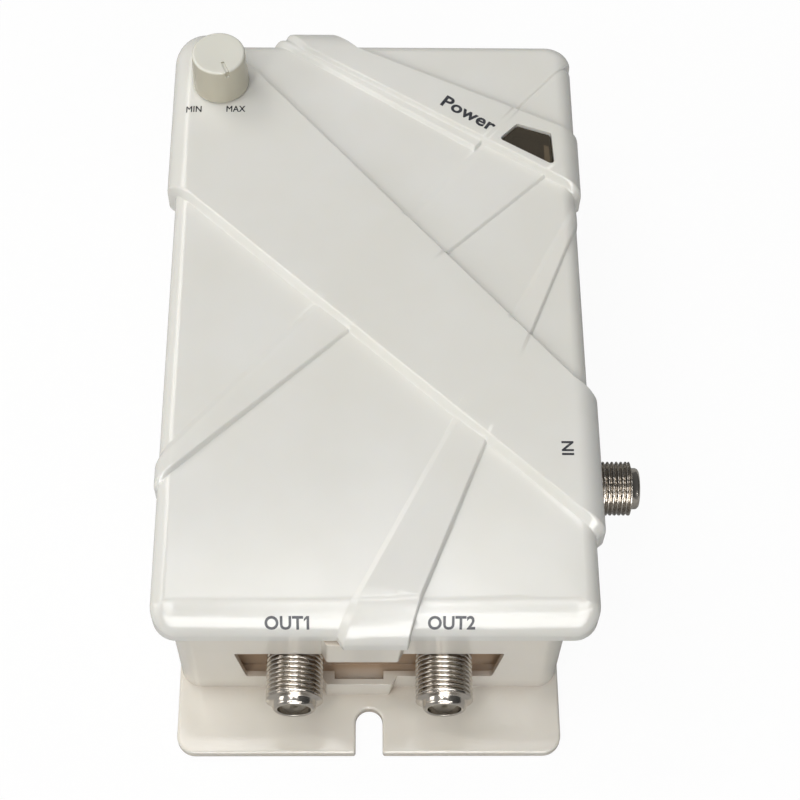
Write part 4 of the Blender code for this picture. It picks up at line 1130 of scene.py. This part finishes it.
def studio():
    world = bpy.data.worlds.new("studio")
    bpy.context.scene.world = world
    world.use_nodes = True
    tree = world.node_tree
    place = tree.nodes.new("ShaderNodeTexCoord")
    split = tree.nodes.new("ShaderNodeSeparateXYZ")
    ramp = tree.nodes.new("ShaderNodeMapRange")
    tree.links.new(place.outputs["Generated"], split.inputs[0])
    tree.links.new(split.outputs["X"], ramp.inputs["Value"])
    ramp.inputs["From Min"].default_value = -1.0
    ramp.inputs["From Max"].default_value = 1.0
    ramp.inputs["To Min"].default_value = 0.38
    ramp.inputs["To Max"].default_value = 0.06
    tree.links.new(ramp.outputs[0], tree.nodes["Background"].inputs["Strength"])
    tree.nodes["Background"].inputs["Color"].default_value = (0.97, 0.985, 1.0, 1.0)
    soft_light("overhead", (-0.33, 0.04, 0.94), 7, 50, 5.5)
    soft_light("back_left", (-0.48, 0.485, 0.73), 20, 22, 4.5, (1.0, 0.97, 0.92))
    soft_light("front_left", (-0.33, -0.5, 0.8), 7, 34, 9.0, (1.0, 0.98, 0.94))
    soft_light("front_high", (0.12, -0.45, 0.89), 22, 14, 3.4)
    soft_light("front_low", (0.26, -0.8, 0.5), 36, 8, 7.0)
    soft_light("left_low", (-0.87, -0.34, 0.35), 20, 20, 3.5, (1.0, 0.97, 0.92))
    soft_light("front_card", (0.02, -0.96, 0.22), 28, 25, 8.0, card=True)
    soft_light("middle_card", (0.02, -0.72, 0.69), 9, 32, 6.0, card=True)
    soft_light("rear_card", (-0.04, 0.315, 0.948), 20, 7, 6.0, card=True)


def floor(look):
    bm = bmesh.new()
    bmesh.ops.create_grid(bm, x_segments=2, y_segments=2, size=3.0)
    made = mesh_object("floor", placed(bm, Vector((0, 0, -0.15 * MM))), look)


def camera():
    """Looks down at the front end from 61 degrees above the horizon, slightly turned and tilted."""
    yaw, elevation, roll = (math.radians(a) for a in (2.187, 61.0, 2.035))
    level_share = math.cos(elevation)
    look = Vector((math.sin(yaw) * level_share, math.cos(yaw) * level_share, -math.sin(elevation)))
    level = look.cross(UP).normalized()
    upright = level.cross(look)
    right = level * math.cos(roll) + upright * math.sin(roll)
    up = upright * math.cos(roll) - level * math.sin(roll)
    data = bpy.data.cameras.new("camera")
    data.sensor_width = 36.0
    data.lens = 81.56
    data.clip_start = 0.01
    made = bpy.data.objects.new("camera", data)
    bpy.context.scene.collection.objects.link(made)
    turn = Matrix((right, up, -look)).transposed()
    made.matrix_world = Matrix.Translation(Vector((-0.576, -165.865, 300.138)) * MM) @ turn.to_4x4()
    bpy.context.scene.camera = made


# ---------------------------------------------------------------- build


def dress(look, *nodes):
    """Give carried-over CAD nodes a material."""
    for node in nodes:
        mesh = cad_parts[node].data
        mesh.materials.clear()
        mesh.materials.append(look)


def screw_middles(prefix, count):
    return [box_of(f"{prefix}_{number}")[2] for number in range(1, count + 1)]


def connector_tips():
    """Tip centre and turn of each connector, from its CAD box."""
    towards_front = Matrix.Rotation(math.pi / 2, 3, "X")
    towards_side = Matrix.Rotation(math.pi / 2, 3, "Y")
    tips = {}
    for name in ("out1", "out2"):
        low, _, middle = box_of(f"connector_{name}")
        tips[name] = (Vector((middle.x, low.y, middle.z)), towards_front)
    _, high, middle = box_of("connector_in")
    tips["in"] = (Vector((high.x, middle.y, middle.z)), towards_side)
    return tips


def build():
    ivory = ivory_plastic("cover_plastic", (0.78, 0.775, 0.74), 0.17, 0.10)
    # Painted shade: the case plastic is painted brown in its recesses and inside the output window.
    case_plastic = ivory_plastic("case_plastic", (0.76, 0.725, 0.66), 0.12, recess_shade_colour=(0.28, 0.18, 0.11))
    # Painted shade: the knob's upright sides are painted darker and yellower than its top.
    knob_plastic = ivory_plastic("dial_plastic", (0.76, 0.755, 0.69), 0.2, shaded_side_colour=(0.54, 0.51, 0.41))
    nickel = plated_metal("nickel", (0.56, 0.52, 0.47), 0.16)
    steel = plated_metal("steel", (0.55, 0.55, 0.57), 0.3)
    tin = plated_metal("tinned_sheet", (0.68, 0.68, 0.70), 0.28, 0.15)
    brass = plated_metal("contact_brass", (0.76, 0.58, 0.26), 0.25)
    bead = dull_plastic("insulator_plastic", (0.78, 0.78, 0.74), 0.45)
    black = dull_plastic("black_plastic", (0.03, 0.03, 0.034), 0.45)
    ferrite = dull_plastic("ferrite", (0.09, 0.09, 0.10), 0.6, 2600.0, 0.5)
    sleeve = dull_plastic("capacitor_sleeve", (0.04, 0.07, 0.20), 0.3, 900.0, 0.1)

    case_screws = screw_middles("case_screw", 4)
    board_screws = screw_middles("board_screw", 4)
    tips = connector_tips()
    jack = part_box("dc_jack_body")
    cover = top_cover(ivory, case_screws)
    labels(cover, print_ink())
    wall_case(case_plastic, case_screws, board_screws, tips.values(), jack)
    gain_knob(knob_plastic)
    for name, (tip, turn) in tips.items():
        connector(name, tip, turn, nickel)
        dress(bead, f"insulator_{name}")
        dress(brass, f"contact_{name}")
    power_lens(smoked_lens())
    power_led(lamp_plastic(), tin)

    dress(steel, "pot_shaft", "pot_bushing", *(f"case_screw_{n}" for n in range(1, 5)))
    dress(steel, *(f"board_screw_{n}" for n in range(1, 5)))
    dress(black, "pot_wiper", "pot_housing", "amplifier_chip")
    dress(black, "voltage_regulator", "polarity_diode", "dc_jack_body")
    dress(brass, "dc_jack_pin")
    dress(ferrite, "splitter_core")
    dress(sleeve, "bulk_capacitor_1", "bulk_capacitor_2")
    dress(copper_winding(), "power_inductor")
    dress(tin, "shield_frame", "shield_lid")
    dress(board_laminate(), "circuit_board")

    floor(floor_paper())
    studio()
    camera()
    bpy.context.scene.view_settings.view_transform = "Standard"


build()
